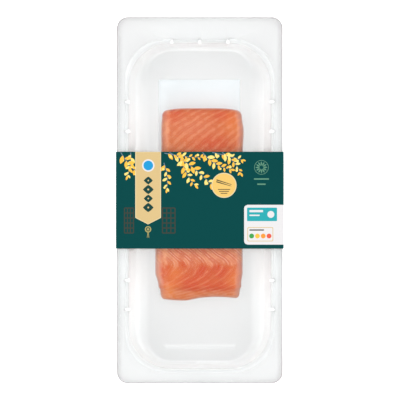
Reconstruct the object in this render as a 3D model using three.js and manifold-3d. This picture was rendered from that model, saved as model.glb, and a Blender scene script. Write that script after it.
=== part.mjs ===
// A chilled salmon portion in its retail pack: a thermoformed plastic tray with a sealed clear film over it,
// one skinless fillet piece on an absorbent pad inside, and a printed card sleeve round the middle.
// Millimetres, +Z up, the pack lying flat. The origin is on the surface it rests on, under the middle of the
// pack, with +X across the pack and +Y along it, towards the wider end flange.
import * as THREE from "three";
import { mergeVertices } from "three/addons/utils/BufferGeometryUtils.js";
import Module from "manifold-3d";

const wasm = await Module();
wasm.setup();

// Driving dimensions
const PACK_WIDTH = 120;
const PACK_LENGTH = 265;
const CLEARANCE = 0.2; // between pieces that rest on each other

// Card sleeve
const SLEEVE_LENGTH = 70; // along the pack
const CARD = 0.5;
const SLEEVE_FOOT_WIDTH = 88; // outer width of the panel under the tray
const FOLD_RADIUS = 0.9;
const SLEEVE_SIDE_DROP = 6.2; // the upright strip beside the tray's lip

// Tray
const TRAY_BOTTOM = CARD + CLEARANCE; // the sleeve's foot panel is under it
const TRAY_HEIGHT = 29.5;
const SHEET = 0.8; // wall thickness
const RIM_CORNER = 8;
const LIP_RADIUS = 2.2;
const LIP_DROP = 3.6;
const CAVITY_WIDTH = 102.6;
const CAVITY_LENGTH = 235;
const CAVITY_SHIFT = -4.1; // the cavity lies towards the narrower end flange
const CAVITY_CORNER = 31;
const CAVITY_EDGE_RADIUS = 1.2;
const WALL_DRAFT = 3.8; // how far the straight wall leans in
const FLOOR_CURVE = 11; // radius between the wall and the floor
const END_STEEPNESS = 0.33; // how far the end walls lean and curve in, as a share of what the long walls do
const GROOVE_OFFSET = 2.6; // centre of the seal groove, outside the cavity's edge
const GROOVE_HALF = 0.9;
const GROOVE_DEPTH = 0.45;
const GROOVE_CORNER = 28.5;
const CORNER_STEPS = 7;

// Pockets in the cavity's edge that keep stacked trays apart
const LUG_RADIUS = 1.3;
const LUG_DEPTH = 5;
const LUG_SIDES = 10;
const SIDE_LUG_Y = [71.2, 49.8, -57.9, -79.1];
const END_LUG_X = [-20.2, 0, 20.2];
const LUG_OFFSET = 1.7; // outside the cavity's edge

// A low rib across the floor near one end
const RIB_LENGTH = 52;
const RIB_WIDTH = 3.2;
const RIB_RISE = 0.7;
const RIB_Y = -107;

// Film, pad and fillet
const FILM = 0.3;
const FILM_INSET = 2.4;
const PAD_WIDTH = 61;
const PAD_MIDDLE_X = -1.3;
const PAD_TOP_Y = 89;
const PAD_BOTTOM_Y = -68;
const PAD_THICKNESS = 1.2;
const FILLET_LENGTH = 138;
const FILLET_MIDDLE_Y = -2.7;
const FILLET_HALF_WIDTH = 29.5; // before it tapers, swells and bulges
const FILLET_ROUND_WIDTH = 30; // the half width that its roundings are worked out for
const FILLET_HEIGHT = 22;
const FILLET_EDGE = 4.2; // rounding of the upper edges
const FILLET_CORNER = 3.2; // rounding seen from above
const UPPER_BOW = 2.2; // how far the upper end's corners lie short of its middle
const BULGE_Y = 49; // the right-hand side is widest here
const BULGE_REACH = 11;
const FLAKE_SPACING = 8.3; // across the pack, from one seam between flakes to the next
const FLAKE_RELIEF = 0.45;
const FILLET_COLUMNS = 36;
const FILLET_ROWS = 80;

// Helpers

function smooth(from, to, x) {
  const t = Math.min(1, Math.max(0, (x - from) / (to - from)));
  return t * t * (3 - 2 * t);
}

function geometryOf(points, triangles) {
  const geometry = new THREE.BufferGeometry();
  geometry.setAttribute("position", new THREE.Float32BufferAttribute(points.flat(), 3));
  geometry.setIndex(triangles);
  return geometry;
}

function solidOf(geometry) {
  const bare = geometry.clone();
  bare.deleteAttribute("normal");
  bare.deleteAttribute("uv");
  const merged = mergeVertices(bare, 1e-4);
  return new wasm.Manifold(
    new wasm.Mesh({
      numProp: 3,
      vertProperties: merged.attributes.position.array,
      triVerts: new Uint32Array(merged.index.array),
    }),
  );
}

function geometryOfSolid(solid) {
  const mesh = solid.getMesh();
  const geometry = new THREE.BufferGeometry();
  geometry.setAttribute("position", new THREE.BufferAttribute(mesh.vertProperties, 3));
  geometry.setIndex(new THREE.BufferAttribute(mesh.triVerts, 1));
  return geometry;
}

// A rounded rectangle's points, anticlockwise from above. w and l are its half width and half length, shift
// is how far it lies along +Y, r its corner radius and z its height.
function ringPoints({ w, l, shift = 0, r, z }, steps = CORNER_STEPS) {
  const points = [];
  const corners = [
    [1, 1],
    [-1, 1],
    [-1, -1],
    [1, -1],
  ];
  corners.forEach(([sx, sy], corner) => {
    for (let i = 0; i <= steps; i += 1) {
      const angle = ((corner + i / steps) * Math.PI) / 2;
      const x = sx * (w - r) + r * Math.cos(angle);
      const y = shift + sy * (l - r) + r * Math.sin(angle);
      points.push([x, y, z]);
    }
  });
  return points;
}

// Joins rings of equal count into a closed body, with a flat cap inside the first ring and inside the last.
function loft(rings, steps = CORNER_STEPS) {
  const points = rings.flatMap((ring) => ringPoints(ring, steps));
  const count = 4 * (steps + 1);
  const triangles = [];
  for (let k = 0; k < rings.length - 1; k += 1) {
    for (let i = 0; i < count; i += 1) {
      const a = k * count + i;
      const b = k * count + ((i + 1) % count);
      triangles.push(a, a + count, b, b, a + count, b + count);
    }
  }
  const cap = (ring, start, flip) => {
    const middle = points.length;
    points.push([0, ring.shift ?? 0, ring.z]);
    for (let i = 0; i < count; i += 1) {
      const a = start + i;
      const b = start + ((i + 1) % count);
      triangles.push(middle, flip ? b : a, flip ? a : b);
    }
  };
  cap(rings[0], 0, false);
  cap(rings.at(-1), (rings.length - 1) * count, true);
  return geometryOf(points, triangles);
}

// Tray

// A ring that follows the cavity's edge at a distance outside it (negative is inside), at a height above the
// tray's base. skin is how far its face of the sheet lies outside the inner one. The steep end walls go in
// less than the long ones do.
function cavityRing(outside, height, corner = CAVITY_CORNER + outside, skin = 0) {
  const inward = Math.max(0, skin - outside);
  return {
    w: CAVITY_WIDTH / 2 + outside,
    l: CAVITY_LENGTH / 2 + outside + (1 - END_STEEPNESS) * inward,
    shift: CAVITY_SHIFT,
    r: corner,
    z: TRAY_BOTTOM + height,
  };
}

function rimRing(inset, height) {
  return {
    w: PACK_WIDTH / 2 - inset,
    l: PACK_LENGTH / 2 - inset,
    r: RIM_CORNER - inset,
    z: TRAY_BOTTOM + height,
  };
}

// The cavity's wall, from the floor up: a large curve, the leaning wall and a small rounded edge. offset 0 is
// the inner face and SHEET the outer one, which lies outside and under it.
function wallRings(offset) {
  const rings = [];
  const lean = Math.atan2(WALL_DRAFT, TRAY_HEIGHT - SHEET - FLOOR_CURVE);
  const curve = FLOOR_CURVE + offset;
  const middle = -WALL_DRAFT - FLOOR_CURVE;
  const curveSteps = 6;
  for (let i = 0; i <= curveSteps; i += 1) {
    const angle = (i / curveSteps) * (Math.PI / 2 - lean);
    const height = SHEET + FLOOR_CURVE - curve * Math.cos(angle);
    rings.push(cavityRing(middle + curve * Math.sin(angle), height, undefined, offset));
  }
  const edge = CAVITY_EDGE_RADIUS - offset;
  for (let i = 0; i <= 2; i += 1) {
    const angle = lean + (i / 2) * (Math.PI / 2 - lean);
    const across = CAVITY_EDGE_RADIUS - edge * Math.cos(angle);
    rings.push(cavityRing(across, TRAY_HEIGHT - CAVITY_EDGE_RADIUS + edge * Math.sin(angle)));
  }
  return rings;
}

function grooveRings(offset) {
  const half = GROOVE_HALF + offset / 2;
  return [-1, -0.45, 0.45, 1].map((share) => {
    const deep = Math.abs(share) < 1 ? GROOVE_DEPTH : 0;
    const corner = share < 0 ? GROOVE_CORNER - 0.5 : GROOVE_CORNER;
    return cavityRing(GROOVE_OFFSET + share * half, TRAY_HEIGHT - offset - deep, corner);
  });
}

function lipRings(offset) {
  const radius = LIP_RADIUS - offset;
  return [0, 1, 2, 3].map((i) => {
    const angle = (i / 3) * (Math.PI / 2);
    const height = TRAY_HEIGHT - LIP_RADIUS + radius * Math.cos(angle);
    return rimRing(LIP_RADIUS - radius * Math.sin(angle), height);
  });
}

function trayShell() {
  const upper = [...wallRings(0), ...grooveRings(0), ...lipRings(0), rimRing(0, TRAY_HEIGHT - LIP_DROP)];
  const lower = [rimRing(SHEET, TRAY_HEIGHT - LIP_DROP), ...lipRings(SHEET).reverse()];
  lower.push(...grooveRings(SHEET).reverse(), ...wallRings(SHEET).reverse());
  return loft([...upper, ...lower]);
}

function capsule(radius, depth, top, x, y) {
  const steps = 3;
  const profile = [];
  for (let i = 0; i <= steps; i += 1) {
    const angle = (i / steps) * (Math.PI / 2);
    profile.push(new THREE.Vector2(radius * Math.sin(angle), -depth + radius - radius * Math.cos(angle)));
  }
  profile.push(new THREE.Vector2(radius, top), new THREE.Vector2(0, top));
  const geometry = new THREE.LatheGeometry(profile, LUG_SIDES);
  geometry.rotateX(Math.PI / 2);
  geometry.translate(x, y, TRAY_BOTTOM + TRAY_HEIGHT);
  return solidOf(geometry);
}

function lugPlaces() {
  const side = CAVITY_WIDTH / 2 + LUG_OFFSET;
  const end = CAVITY_SHIFT + CAVITY_LENGTH / 2 + LUG_OFFSET;
  const places = END_LUG_X.map((x) => [x, end]);
  for (const y of SIDE_LUG_Y) {
    places.push([-side, y], [side, y]);
  }
  return places;
}

function tray() {
  let solid = solidOf(trayShell());
  for (const [x, y] of lugPlaces()) {
    solid = solid.add(capsule(LUG_RADIUS + SHEET, LUG_DEPTH + SHEET, -SHEET / 2, x, y));
  }
  for (const [x, y] of lugPlaces()) {
    solid = solid.subtract(capsule(LUG_RADIUS, LUG_DEPTH, 1, x, y));
  }
  const rib = new THREE.BoxGeometry(RIB_LENGTH, RIB_WIDTH, RIB_RISE + SHEET / 2);
  rib.translate(0, RIB_Y, TRAY_BOTTOM + SHEET + RIB_RISE / 2 - SHEET / 4);
  return geometryOfSolid(solid.add(solidOf(rib)));
}

// Film: flat, sealed to the flange

const FILM_BOTTOM = TRAY_BOTTOM + TRAY_HEIGHT + CLEARANCE;

function film() {
  const ring = {
    w: PACK_WIDTH / 2 - FILM_INSET,
    l: PACK_LENGTH / 2 - FILM_INSET,
    r: RIM_CORNER - FILM_INSET,
  };
  return loft([
    { ...ring, z: FILM_BOTTOM + FILM },
    { ...ring, z: FILM_BOTTOM },
  ]);
}

// Sleeve: one strip of card folded round the tray into a closed loop

function roundedLoop(corners, radius) {
  const shape = new THREE.Path();
  corners.forEach((corner, i) => {
    const before = corners[(i + corners.length - 1) % corners.length];
    const after = corners[(i + 1) % corners.length];
    const towards = (other) => {
      const step = new THREE.Vector2().subVectors(other, corner);
      return step.setLength(radius).add(corner);
    };
    const start = towards(before);
    const end = towards(after);
    if (i === 0) {
      shape.moveTo(start.x, start.y);
    } else {
      shape.lineTo(start.x, start.y);
    }
    shape.quadraticCurveTo(corner.x, corner.y, end.x, end.y);
  });
  shape.closePath();
  return shape.getPoints(4);
}

function sleeve() {
  const top = FILM_BOTTOM + FILM + CLEARANCE + CARD;
  const halfTop = PACK_WIDTH / 2 + CLEARANCE + CARD;
  const halfFoot = SLEEVE_FOOT_WIDTH / 2;
  const outer = [
    [-halfFoot, 0],
    [halfFoot, 0],
    [halfTop, top - SLEEVE_SIDE_DROP],
    [halfTop, top],
    [-halfTop, top],
    [-halfTop, top - SLEEVE_SIDE_DROP],
  ];
  const slope = Math.hypot(halfTop - halfFoot, top - SLEEVE_SIDE_DROP);
  const innerFoot = halfFoot - (CARD * (slope - (halfTop - halfFoot))) / (top - SLEEVE_SIDE_DROP);
  const bend = (CARD * (slope - top + SLEEVE_SIDE_DROP)) / (halfTop - halfFoot);
  const inner = [
    [-innerFoot, CARD],
    [innerFoot, CARD],
    [halfTop - CARD, top - SLEEVE_SIDE_DROP + bend],
    [halfTop - CARD, top - CARD],
    [CARD - halfTop, top - CARD],
    [CARD - halfTop, top - SLEEVE_SIDE_DROP + bend],
  ];
  const vectors = (list) => list.map(([x, y]) => new THREE.Vector2(x, y));
  const shape = new THREE.Shape(roundedLoop(vectors(outer), FOLD_RADIUS));
  shape.holes.push(new THREE.Path(roundedLoop(vectors(inner), FOLD_RADIUS - CARD / 2)));
  const geometry = new THREE.ExtrudeGeometry(shape, { depth: SLEEVE_LENGTH, bevelEnabled: false });
  geometry.rotateX(Math.PI / 2);
  geometry.translate(0, SLEEVE_LENGTH / 2, 0);
  return geometry;
}

// Absorbent pad on the tray's floor

const PAD_BOTTOM = TRAY_BOTTOM + SHEET + CLEARANCE;

function pad() {
  const ring = {
    w: PAD_WIDTH / 2,
    l: (PAD_TOP_Y - PAD_BOTTOM_Y) / 2,
    shift: (PAD_TOP_Y + PAD_BOTTOM_Y) / 2,
    r: 1.5,
  };
  const geometry = loft(
    [
      { ...ring, z: PAD_BOTTOM + PAD_THICKNESS },
      { ...ring, z: PAD_BOTTOM },
    ],
    2,
  );
  geometry.translate(PAD_MIDDLE_X, 0, 0);
  return geometry;
}

// Fillet

const FILLET_BOTTOM = PAD_BOTTOM + PAD_THICKNESS + CLEARANCE;

// How much of the side's bulge there is at a place along the fillet, from 0 to 1.
function bulge(y) {
  return Math.exp(-(((y - BULGE_Y) / BULGE_REACH) ** 2));
}

// Half width and middle of the fillet at a place along it, from its uneven cut edges.
function filletHalfWidth(y) {
  const tapers = 1.6 * smooth(15, -20, y) - 3 * smooth(-50, -66, y) - 0.7 * smooth(52, 66, y);
  return FILLET_HALF_WIDTH + tapers + 0.6 * bulge(y);
}

function filletMiddleX(y) {
  return 1.6 - 2.2 * smooth(15, -25, y) + 0.6 * smooth(-55, -68, y) + 0.5 * bulge(y);
}

// Height of the upper face above the fillet's flat underside: full in the middle, falling to the thin end.
function filletHeight(x, y) {
  const along = FILLET_HEIGHT - 5 * smooth(-38, -66, y) - 5.5 * smooth(-61.5, -71, y) - 2 * smooth(30, 68, y);
  return along - 1.6 * (x / FILLET_ROUND_WIDTH) ** 2 + 0.5 * Math.sin(x / 9 + y / 17);
}

// The seams between flakes are where this is a whole number: a zigzag along the fillet, as in the whole fish.
function flakePhase(x, y) {
  const bend = (at, change, width) => (change / 2) * Math.hypot(y - at, width);
  const upperBends = bend(12, 2.9, 3) - bend(-46, 2, 2.5);
  const lowerBends = bend(-55, 1.2, 5) + bend(-63, 2.2, 3);
  return (x - 2.75 * y - upperBends + lowerBends) / FLAKE_SPACING;
}

function flakeRelief(x, y) {
  const share = flakePhase(x, y) % 1;
  const fromSeam = Math.abs(2 * (share < 0 ? share + 1 : share) - 1);
  return -FLAKE_RELIEF * fromSeam ** 3;
}

// The surface as a sheet draped over the block: u and v run from -1 to 1, rings of equal max(|u|, |v|) go
// from the middle of the upper face out over the rounded edge and down the sides.
function filletPoint(u, v) {
  const edgeStart = 0.84;
  const wallStart = 0.93;
  const ring = Math.max(Math.abs(u), Math.abs(v), 1e-6);
  const inward = Math.min(ring / edgeStart, 1);
  const turn = (Math.min(1, Math.max(0, (ring - edgeStart) / (wallStart - edgeStart))) * Math.PI) / 2;
  const down = Math.max(0, (ring - wallStart) / (1 - wallStart));
  const inset = FILLET_EDGE * (1 - Math.sin(turn)) - 0.7 * Math.sin(down * Math.PI);
  const halfX = 1 - inset / FILLET_ROUND_WIDTH;
  const halfY = FILLET_LENGTH / 2 - inset;
  const cornerY = FILLET_CORNER;
  const cornerX = FILLET_CORNER / FILLET_ROUND_WIDTH;
  const q = { x: (u / ring) * halfX, y: (v / ring) * halfY };
  const core = {
    x: THREE.MathUtils.clamp(q.x, cornerX - halfX, halfX - cornerX),
    y: THREE.MathUtils.clamp(q.y, cornerY - halfY, halfY - cornerY),
  };
  const reach = Math.hypot((q.x - core.x) / cornerX, (q.y - core.y) / cornerY);
  const pull = reach > 1e-9 ? 1 / reach : 0;
  const shareX = (core.x + (q.x - core.x) * pull) * inward;
  let y = FILLET_MIDDLE_Y + (core.y + (q.y - core.y) * pull) * inward;
  const x = filletMiddleX(y) + shareX * filletHalfWidth(y);
  const lowerEdge = 0.8 * Math.sin(x / 8) + 1.1 * smooth(-11, 0, x);
  y += lowerEdge * smooth(-55, -72, y) - UPPER_BOW * shareX ** 4 * smooth(45, 67, y);
  const upper = filletHeight(x, y) - FILLET_EDGE * (1 - Math.cos(turn));
  const relief = flakeRelief(x, y) * (1 - down) * (0.35 + 0.65 * Math.cos(turn));
  return [x, y, FILLET_BOTTOM + (upper + relief) * (1 - down)];
}

function fillet() {
  const points = [];
  const columns = FILLET_COLUMNS;
  const rows = FILLET_ROWS;
  for (let j = 0; j <= rows; j += 1) {
    for (let i = 0; i <= columns; i += 1) {
      points.push(filletPoint((2 * i) / columns - 1, (2 * j) / rows - 1));
    }
  }
  const triangles = [];
  const index = (i, j) => j * (columns + 1) + i;
  for (let j = 0; j < rows; j += 1) {
    for (let i = 0; i < columns; i += 1) {
      const [a, b, c, d] = [index(i, j), index(i + 1, j), index(i + 1, j + 1), index(i, j + 1)];
      triangles.push(a, b, c, a, c, d);
    }
  }
  const edge = [];
  for (let i = 0; i < columns; i += 1) edge.push(index(i, 0));
  for (let j = 0; j < rows; j += 1) edge.push(index(columns, j));
  for (let i = columns; i > 0; i -= 1) edge.push(index(i, rows));
  for (let j = rows; j > 0; j -= 1) edge.push(index(0, j));
  const middle = points.length;
  points.push([0, FILLET_MIDDLE_Y, FILLET_BOTTOM]);
  edge.forEach((a, k) => triangles.push(middle, edge[(k + 1) % edge.length], a));
  return geometryOf(points, triangles);
}

// Assembly

const clearPlastic = { color: "#f1f3f4", roughness: 0.25, metalness: 0 };
const pieces = {
  tray: [tray(), clearPlastic],
  lid_film: [film(), { color: "#f7f9fa", roughness: 0.08, metalness: 0 }],
  sleeve: [sleeve(), { color: "#094f4f", roughness: 0.5, metalness: 0 }],
  absorbent_pad: [pad(), { color: "#f4f6f7", roughness: 0.9, metalness: 0 }],
  salmon_fillet: [fillet(), { color: "#df7a4f", roughness: 0.35, metalness: 0 }],
};

const pack = new THREE.Group();
for (const [name, [geometry, finish]] of Object.entries(pieces)) {
  const mesh = new THREE.Mesh(geometry, new THREE.MeshStandardMaterial(finish));
  mesh.name = name;
  pack.add(mesh);
}

export default pack;
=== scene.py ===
"""A chilled salmon portion in its retail pack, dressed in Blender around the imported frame.

Lengths are millimetres until a mesh is made. +Z is up. +Y runs along the pack, towards its wider end flange.
"""
import logging
import math
from dataclasses import dataclass, field
from enum import Enum
from typing import Any, NamedTuple

import bpy
import numpy as np
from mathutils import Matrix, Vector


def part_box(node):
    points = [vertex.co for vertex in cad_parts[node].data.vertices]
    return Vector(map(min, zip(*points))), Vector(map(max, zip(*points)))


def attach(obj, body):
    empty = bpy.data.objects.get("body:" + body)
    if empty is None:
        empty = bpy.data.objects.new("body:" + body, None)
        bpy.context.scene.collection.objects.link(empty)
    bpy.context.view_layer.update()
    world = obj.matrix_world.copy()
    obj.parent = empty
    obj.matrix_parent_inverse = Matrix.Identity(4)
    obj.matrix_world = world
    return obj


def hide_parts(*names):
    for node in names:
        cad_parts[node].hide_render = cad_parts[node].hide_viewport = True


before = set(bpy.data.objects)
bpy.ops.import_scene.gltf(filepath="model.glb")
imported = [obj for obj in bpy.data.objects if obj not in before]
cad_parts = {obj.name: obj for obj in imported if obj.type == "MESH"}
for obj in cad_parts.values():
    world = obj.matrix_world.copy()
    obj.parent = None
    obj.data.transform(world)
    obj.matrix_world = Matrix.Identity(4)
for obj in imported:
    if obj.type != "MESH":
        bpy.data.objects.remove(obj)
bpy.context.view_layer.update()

BODY = "root"
MM = 0.001
PHOTO_SIDE = 400  # pixels
PIXEL = 0.7225  # millimetres a pixel of the photograph covers at the height of the rim
PACK_MIDDLE_PIXEL = (199.8, 200.2)

Pair = tuple[float, float]
Steps = tuple[tuple[float, float, float], ...]  # rows of three numbers, such as height, start and end

log = logging.getLogger("salmon_pack")


class Slot(Enum):
    """The record's material slots."""

    TRAY = "tray_plastic"
    FILM = "lid_film"
    CARD = "sleeve_card"
    PRINT = "print_gold"
    PAD = "pad"
    SALMON = "salmon"


# Numbers and surfaces


def smooth(start: float, end: float, x: np.ndarray) -> np.ndarray:
    """The smooth step: 3 t^2 - 2 t^3, where t goes from 0 at start to 1 at end."""
    t = np.clip((x - start) / (end - start), 0, 1)
    return t * t * (3 - 2 * t)


def stepped(steps: Steps, x: np.ndarray) -> np.ndarray:
    """A sum of smooth steps, each given by its height, its start and its end."""
    return sum(height * smooth(start, end, x) for height, start, end in steps)


def bell(x: np.ndarray, middle: float, width: float) -> np.ndarray:
    """A bell: exp(-((x - middle) / width)^2)."""
    return np.exp(-((x - middle) / width) ** 2)


def hump(x: np.ndarray) -> np.ndarray:
    """Half a cosine wave: 1 at 0, falling smoothly to 0 at -1 and 1 and beyond."""
    return 0.5 * (1 + np.cos(np.pi * np.clip(x, -1, 1)))


def ripple(x: np.ndarray, y: np.ndarray, length: float, seed: int) -> np.ndarray:
    """An uneven surface: the mean of six sine waves of about one length, in drawn directions.

    Args:
        x: Places across the pack.
        y: Places along the pack.
        length: The waves' mean length.
        seed: Picks the directions, lengths and phases.

    Returns:
        Heights between about -1 and 1, one for each place.
    """
    draw = np.random.default_rng(seed)
    waves = 6
    angle = draw.uniform(0, 2 * np.pi, waves)
    pace = 2 * np.pi / (length * draw.uniform(0.7, 1.4, waves))
    phase = draw.uniform(0, 2 * np.pi, waves)
    along = np.multiply.outer(x, np.cos(angle)) + np.multiply.outer(y, np.sin(angle))
    return np.sin(along * pace + phase).sum(-1) / math.sqrt(2 * waves)


def from_photo(pixel_x: float, pixel_y: float) -> Pair:
    """The place on the pack, at the height of its rim, that a pixel of the photograph shows."""
    return (pixel_x - PACK_MIDDLE_PIXEL[0]) * PIXEL, (PACK_MIDDLE_PIXEL[1] - pixel_y) * PIXEL


def node_box(node: str) -> tuple[np.ndarray, np.ndarray]:
    """The lowest and highest corner of a CAD node, in millimetres."""
    low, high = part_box(node)
    return np.array(low) / MM, np.array(high) / MM


def quads(index: np.ndarray) -> list[list[int]]:
    """The faces between the rows and columns of a grid of point numbers."""
    corners = index[:-1, :-1], index[:-1, 1:], index[1:, 1:], index[1:, :-1]
    return np.stack(corners, -1).reshape(-1, 4).tolist()


def border(index: np.ndarray) -> np.ndarray:
    """The point numbers round the edge of a grid, in order."""
    return np.concatenate([index[0, :-1], index[:-1, -1], index[-1, :0:-1], index[:0:-1, 0]])


@dataclass
class Shape:
    """A closed surface: its points, its faces as lists of point numbers, and named values for both."""

    points: np.ndarray
    faces: list[list[int]]
    values: dict[str, np.ndarray] = field(default_factory=dict)
    face_values: dict[str, np.ndarray] = field(default_factory=dict)

    @classmethod
    def loft(cls, points: np.ndarray) -> "Shape":
        """Joins rings into a closed body, with a fan of triangles inside the first ring and inside the last.

        Args:
            points: An array of rings, stations and coordinates. The stations run anticlockwise from above,
                and the surface faces up where a ring lies outside the one before it.

        Returns:
            The closed body, with the two fans' middles as its last points.
        """
        rings, stations, _ = points.shape
        index = np.arange(rings * stations).reshape(rings, stations)
        wrapped = np.pad(index, ((0, 0), (0, 1)), "wrap")
        first, last = np.full(stations, rings * stations), np.full(stations, rings * stations + 1)
        start = np.stack([first, wrapped[0, :-1], wrapped[0, 1:]], -1).tolist()
        end = np.stack([last, wrapped[-1, 1:], wrapped[-1, :-1]], -1).tolist()
        middles = points[[0, -1]].mean(1)
        return cls(np.vstack([points.reshape(-1, 3), middles]), quads(wrapped.T) + start + end)

    @classmethod
    def hoop(cls, points: np.ndarray) -> "Shape":
        """Joins rings as a loft does, and the last to the first, into a body with a hole through it."""
        index = np.arange(points.shape[0] * points.shape[1]).reshape(points.shape[:2])
        return cls(points.reshape(-1, 3), quads(np.pad(index, ((0, 1), (0, 1)), "wrap").T))

    @classmethod
    def slab(cls, top: np.ndarray, bottom: np.ndarray) -> "Shape":
        """Closes two grids of one size into a body, with a row of faces round their edge.

        Args:
            top: An array of rows, columns and coordinates, whose rows step along +Y and columns along +X.
            bottom: The same for the underside.

        Returns:
            The closed body, with the top's points first.
        """
        rows, columns, _ = top.shape
        count = rows * columns
        index = np.arange(count).reshape(rows, columns)
        upper = np.array(quads(index))
        edge = border(index)
        beyond = np.roll(edge, -1)
        side = np.stack([edge, edge + count, beyond + count, beyond], -1)
        faces = upper.tolist() + (upper[:, ::-1] + count).tolist() + side.tolist()
        return cls(np.vstack([top.reshape(-1, 3), bottom.reshape(-1, 3)]), faces)

    @classmethod
    def draped(cls, grid: np.ndarray, underside: tuple[float, float, float]) -> "Shape":
        """Closes a grid that hangs down all round with a fan of triangles to one point.

        Args:
            grid: An array of rows, columns and coordinates, as the slab's top.
            underside: The point.

        Returns:
            The closed body, with that point as its last.
        """
        rows, columns, _ = grid.shape
        index = np.arange(rows * columns).reshape(rows, columns)
        edge = border(index)
        fan = np.stack([np.full(len(edge), rows * columns), np.roll(edge, -1), edge], -1)
        return cls(np.vstack([grid.reshape(-1, 3), [underside]]), quads(index) + fan.tolist())

    @classmethod
    def joined(cls, parts: list["Shape"]) -> "Shape":
        """Puts several closed surfaces into one mesh.

        Args:
            parts: The surfaces.

        Returns:
            All of them as one shape.
        """
        starts = np.cumsum([0] + [len(part.points) for part in parts]).tolist()
        faces = [[corner + start for corner in face]
                 for part, start in zip(parts, starts) for face in part.faces]
        return cls(np.vstack([part.points for part in parts]), faces)

    def piece(self, name: str, material: bpy.types.Material, slot: Slot, *nodes: str) -> bpy.types.Object:
        """Makes the object, which rides on the pack and stands for the CAD nodes named.

        Args:
            name: The object's name.
            material: Its finish.
            slot: The record's slot that the finish belongs to. It is not used.
            nodes: The CAD nodes that it replaces.

        Returns:
            The object, at the origin, with its place in its mesh.
        """
        mesh = bpy.data.meshes.new(name)
        mesh.from_pydata((self.points * MM).tolist(), [], self.faces)
        for domain, named in (("POINT", self.values), ("FACE", self.face_values)):
            for label, values in named.items():
                attribute = mesh.attributes.new(label, "FLOAT", domain)
                attribute.data.foreach_set("value", values.astype(np.float32))
        mesh.materials.append(material)
        mesh.shade_smooth()
        mesh.set_sharp_from_angle(angle=math.radians(50))
        piece = bpy.data.objects.new(name, mesh)
        bpy.context.scene.collection.objects.link(piece)
        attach(piece, BODY)
        if nodes:
            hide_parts(*nodes)
        return piece


# Finishes


def linear(colour: str) -> tuple[float, float, float, float]:
    """Turns an sRGB colour such as "#0a4f4f" into linear red, green and blue, with an alpha of 1."""
    shares = [int(colour[k:k + 2], 16) / 255 for k in (1, 3, 5)]
    return (*(s / 12.92 if s <= 0.04045 else ((s + 0.055) / 1.055) ** 2.4 for s in shares), 1.0)


def pattern(size: float) -> float:
    """The scale that gives a texture features of a size in millimetres."""
    return 1 / (size * MM)


def add(tree: bpy.types.NodeTree, kind: str, inputs: dict[Any, Any] | None = None,
        **settings: Any) -> bpy.types.Node:
    """Adds a node with its settings and links.

    Args:
        tree: The material's node tree.
        kind: The node's type.
        inputs: What each input takes, by name or number: a value, or an output that is linked to it.
        settings: The node's own properties.

    Returns:
        The node.
    """
    node = tree.nodes.new(kind)
    for name, value in settings.items():
        setattr(node, name, value)
    for socket, value in (inputs or {}).items():
        if isinstance(value, bpy.types.NodeSocket):
            tree.links.new(value, node.inputs[socket])
        else:
            node.inputs[socket].default_value = value
    return node


class Finish:
    """A material in the making: its node tree, and the steps that finishes share."""

    def __init__(self, name: str) -> None:
        """Starts an empty material.

        Args:
            name: What it is called.
        """
        self.material = bpy.data.materials.new(name)
        self.material.use_nodes = True
        self.tree = self.material.node_tree
        self.tree.nodes.clear()
        self.place = add(self.tree, "ShaderNodeTexCoord").outputs["Object"]

    def relief(self, size: float, depth: float, detail: float = 2.0, stretch: tuple[float, ...] | None = None,
               distortion: float = 0.0) -> tuple[bpy.types.NodeSocket, bpy.types.NodeSocket]:
        """Raises the surface by noise.

        Args:
            size: The noise's features, in millimetres.
            depth: How far they rise, in millimetres.
            detail: How many finer layers the noise has.
            stretch: The pattern's scale along each axis, if its features aren't as long as wide.
            distortion: How much the features curl.

        Returns:
            The noise's value and the surface's normal.
        """
        place = self.place
        if stretch:
            place = add(self.tree, "ShaderNodeMapping", {"Vector": place, "Scale": stretch}).outputs[0]
        noise = add(self.tree, "ShaderNodeTexNoise", {
            "Vector": place, "Scale": pattern(size), "Detail": detail, "Distortion": distortion}).outputs[0]
        bump = add(self.tree, "ShaderNodeBump", {"Height": noise, "Distance": depth * MM})
        return noise, bump.outputs[0]

    def done(self, colour: Any, layers: tuple[tuple[Any, Any], ...],
             inputs: dict[str, Any]) -> bpy.types.Material:
        """Ends the making: lays colours over one another and gives them to one shader as its own colour.

        Args:
            colour: The colour at the bottom.
            layers: How much of each further colour shows, and the colour, from the bottom up.
            inputs: The shader's other inputs.

        Returns:
            The material.
        """
        for share, over in layers:
            mixed = add(self.tree, "ShaderNodeMix", {"Factor": share, "A": colour, "B": over},
                        data_type="RGBA")
            colour = mixed.outputs["Result"]
        shader = add(self.tree, "ShaderNodeBsdfPrincipled", {"Base Color": colour, **inputs})
        add(self.tree, "ShaderNodeOutputMaterial", {"Surface": shader.outputs[0]})
        return self.material


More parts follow.
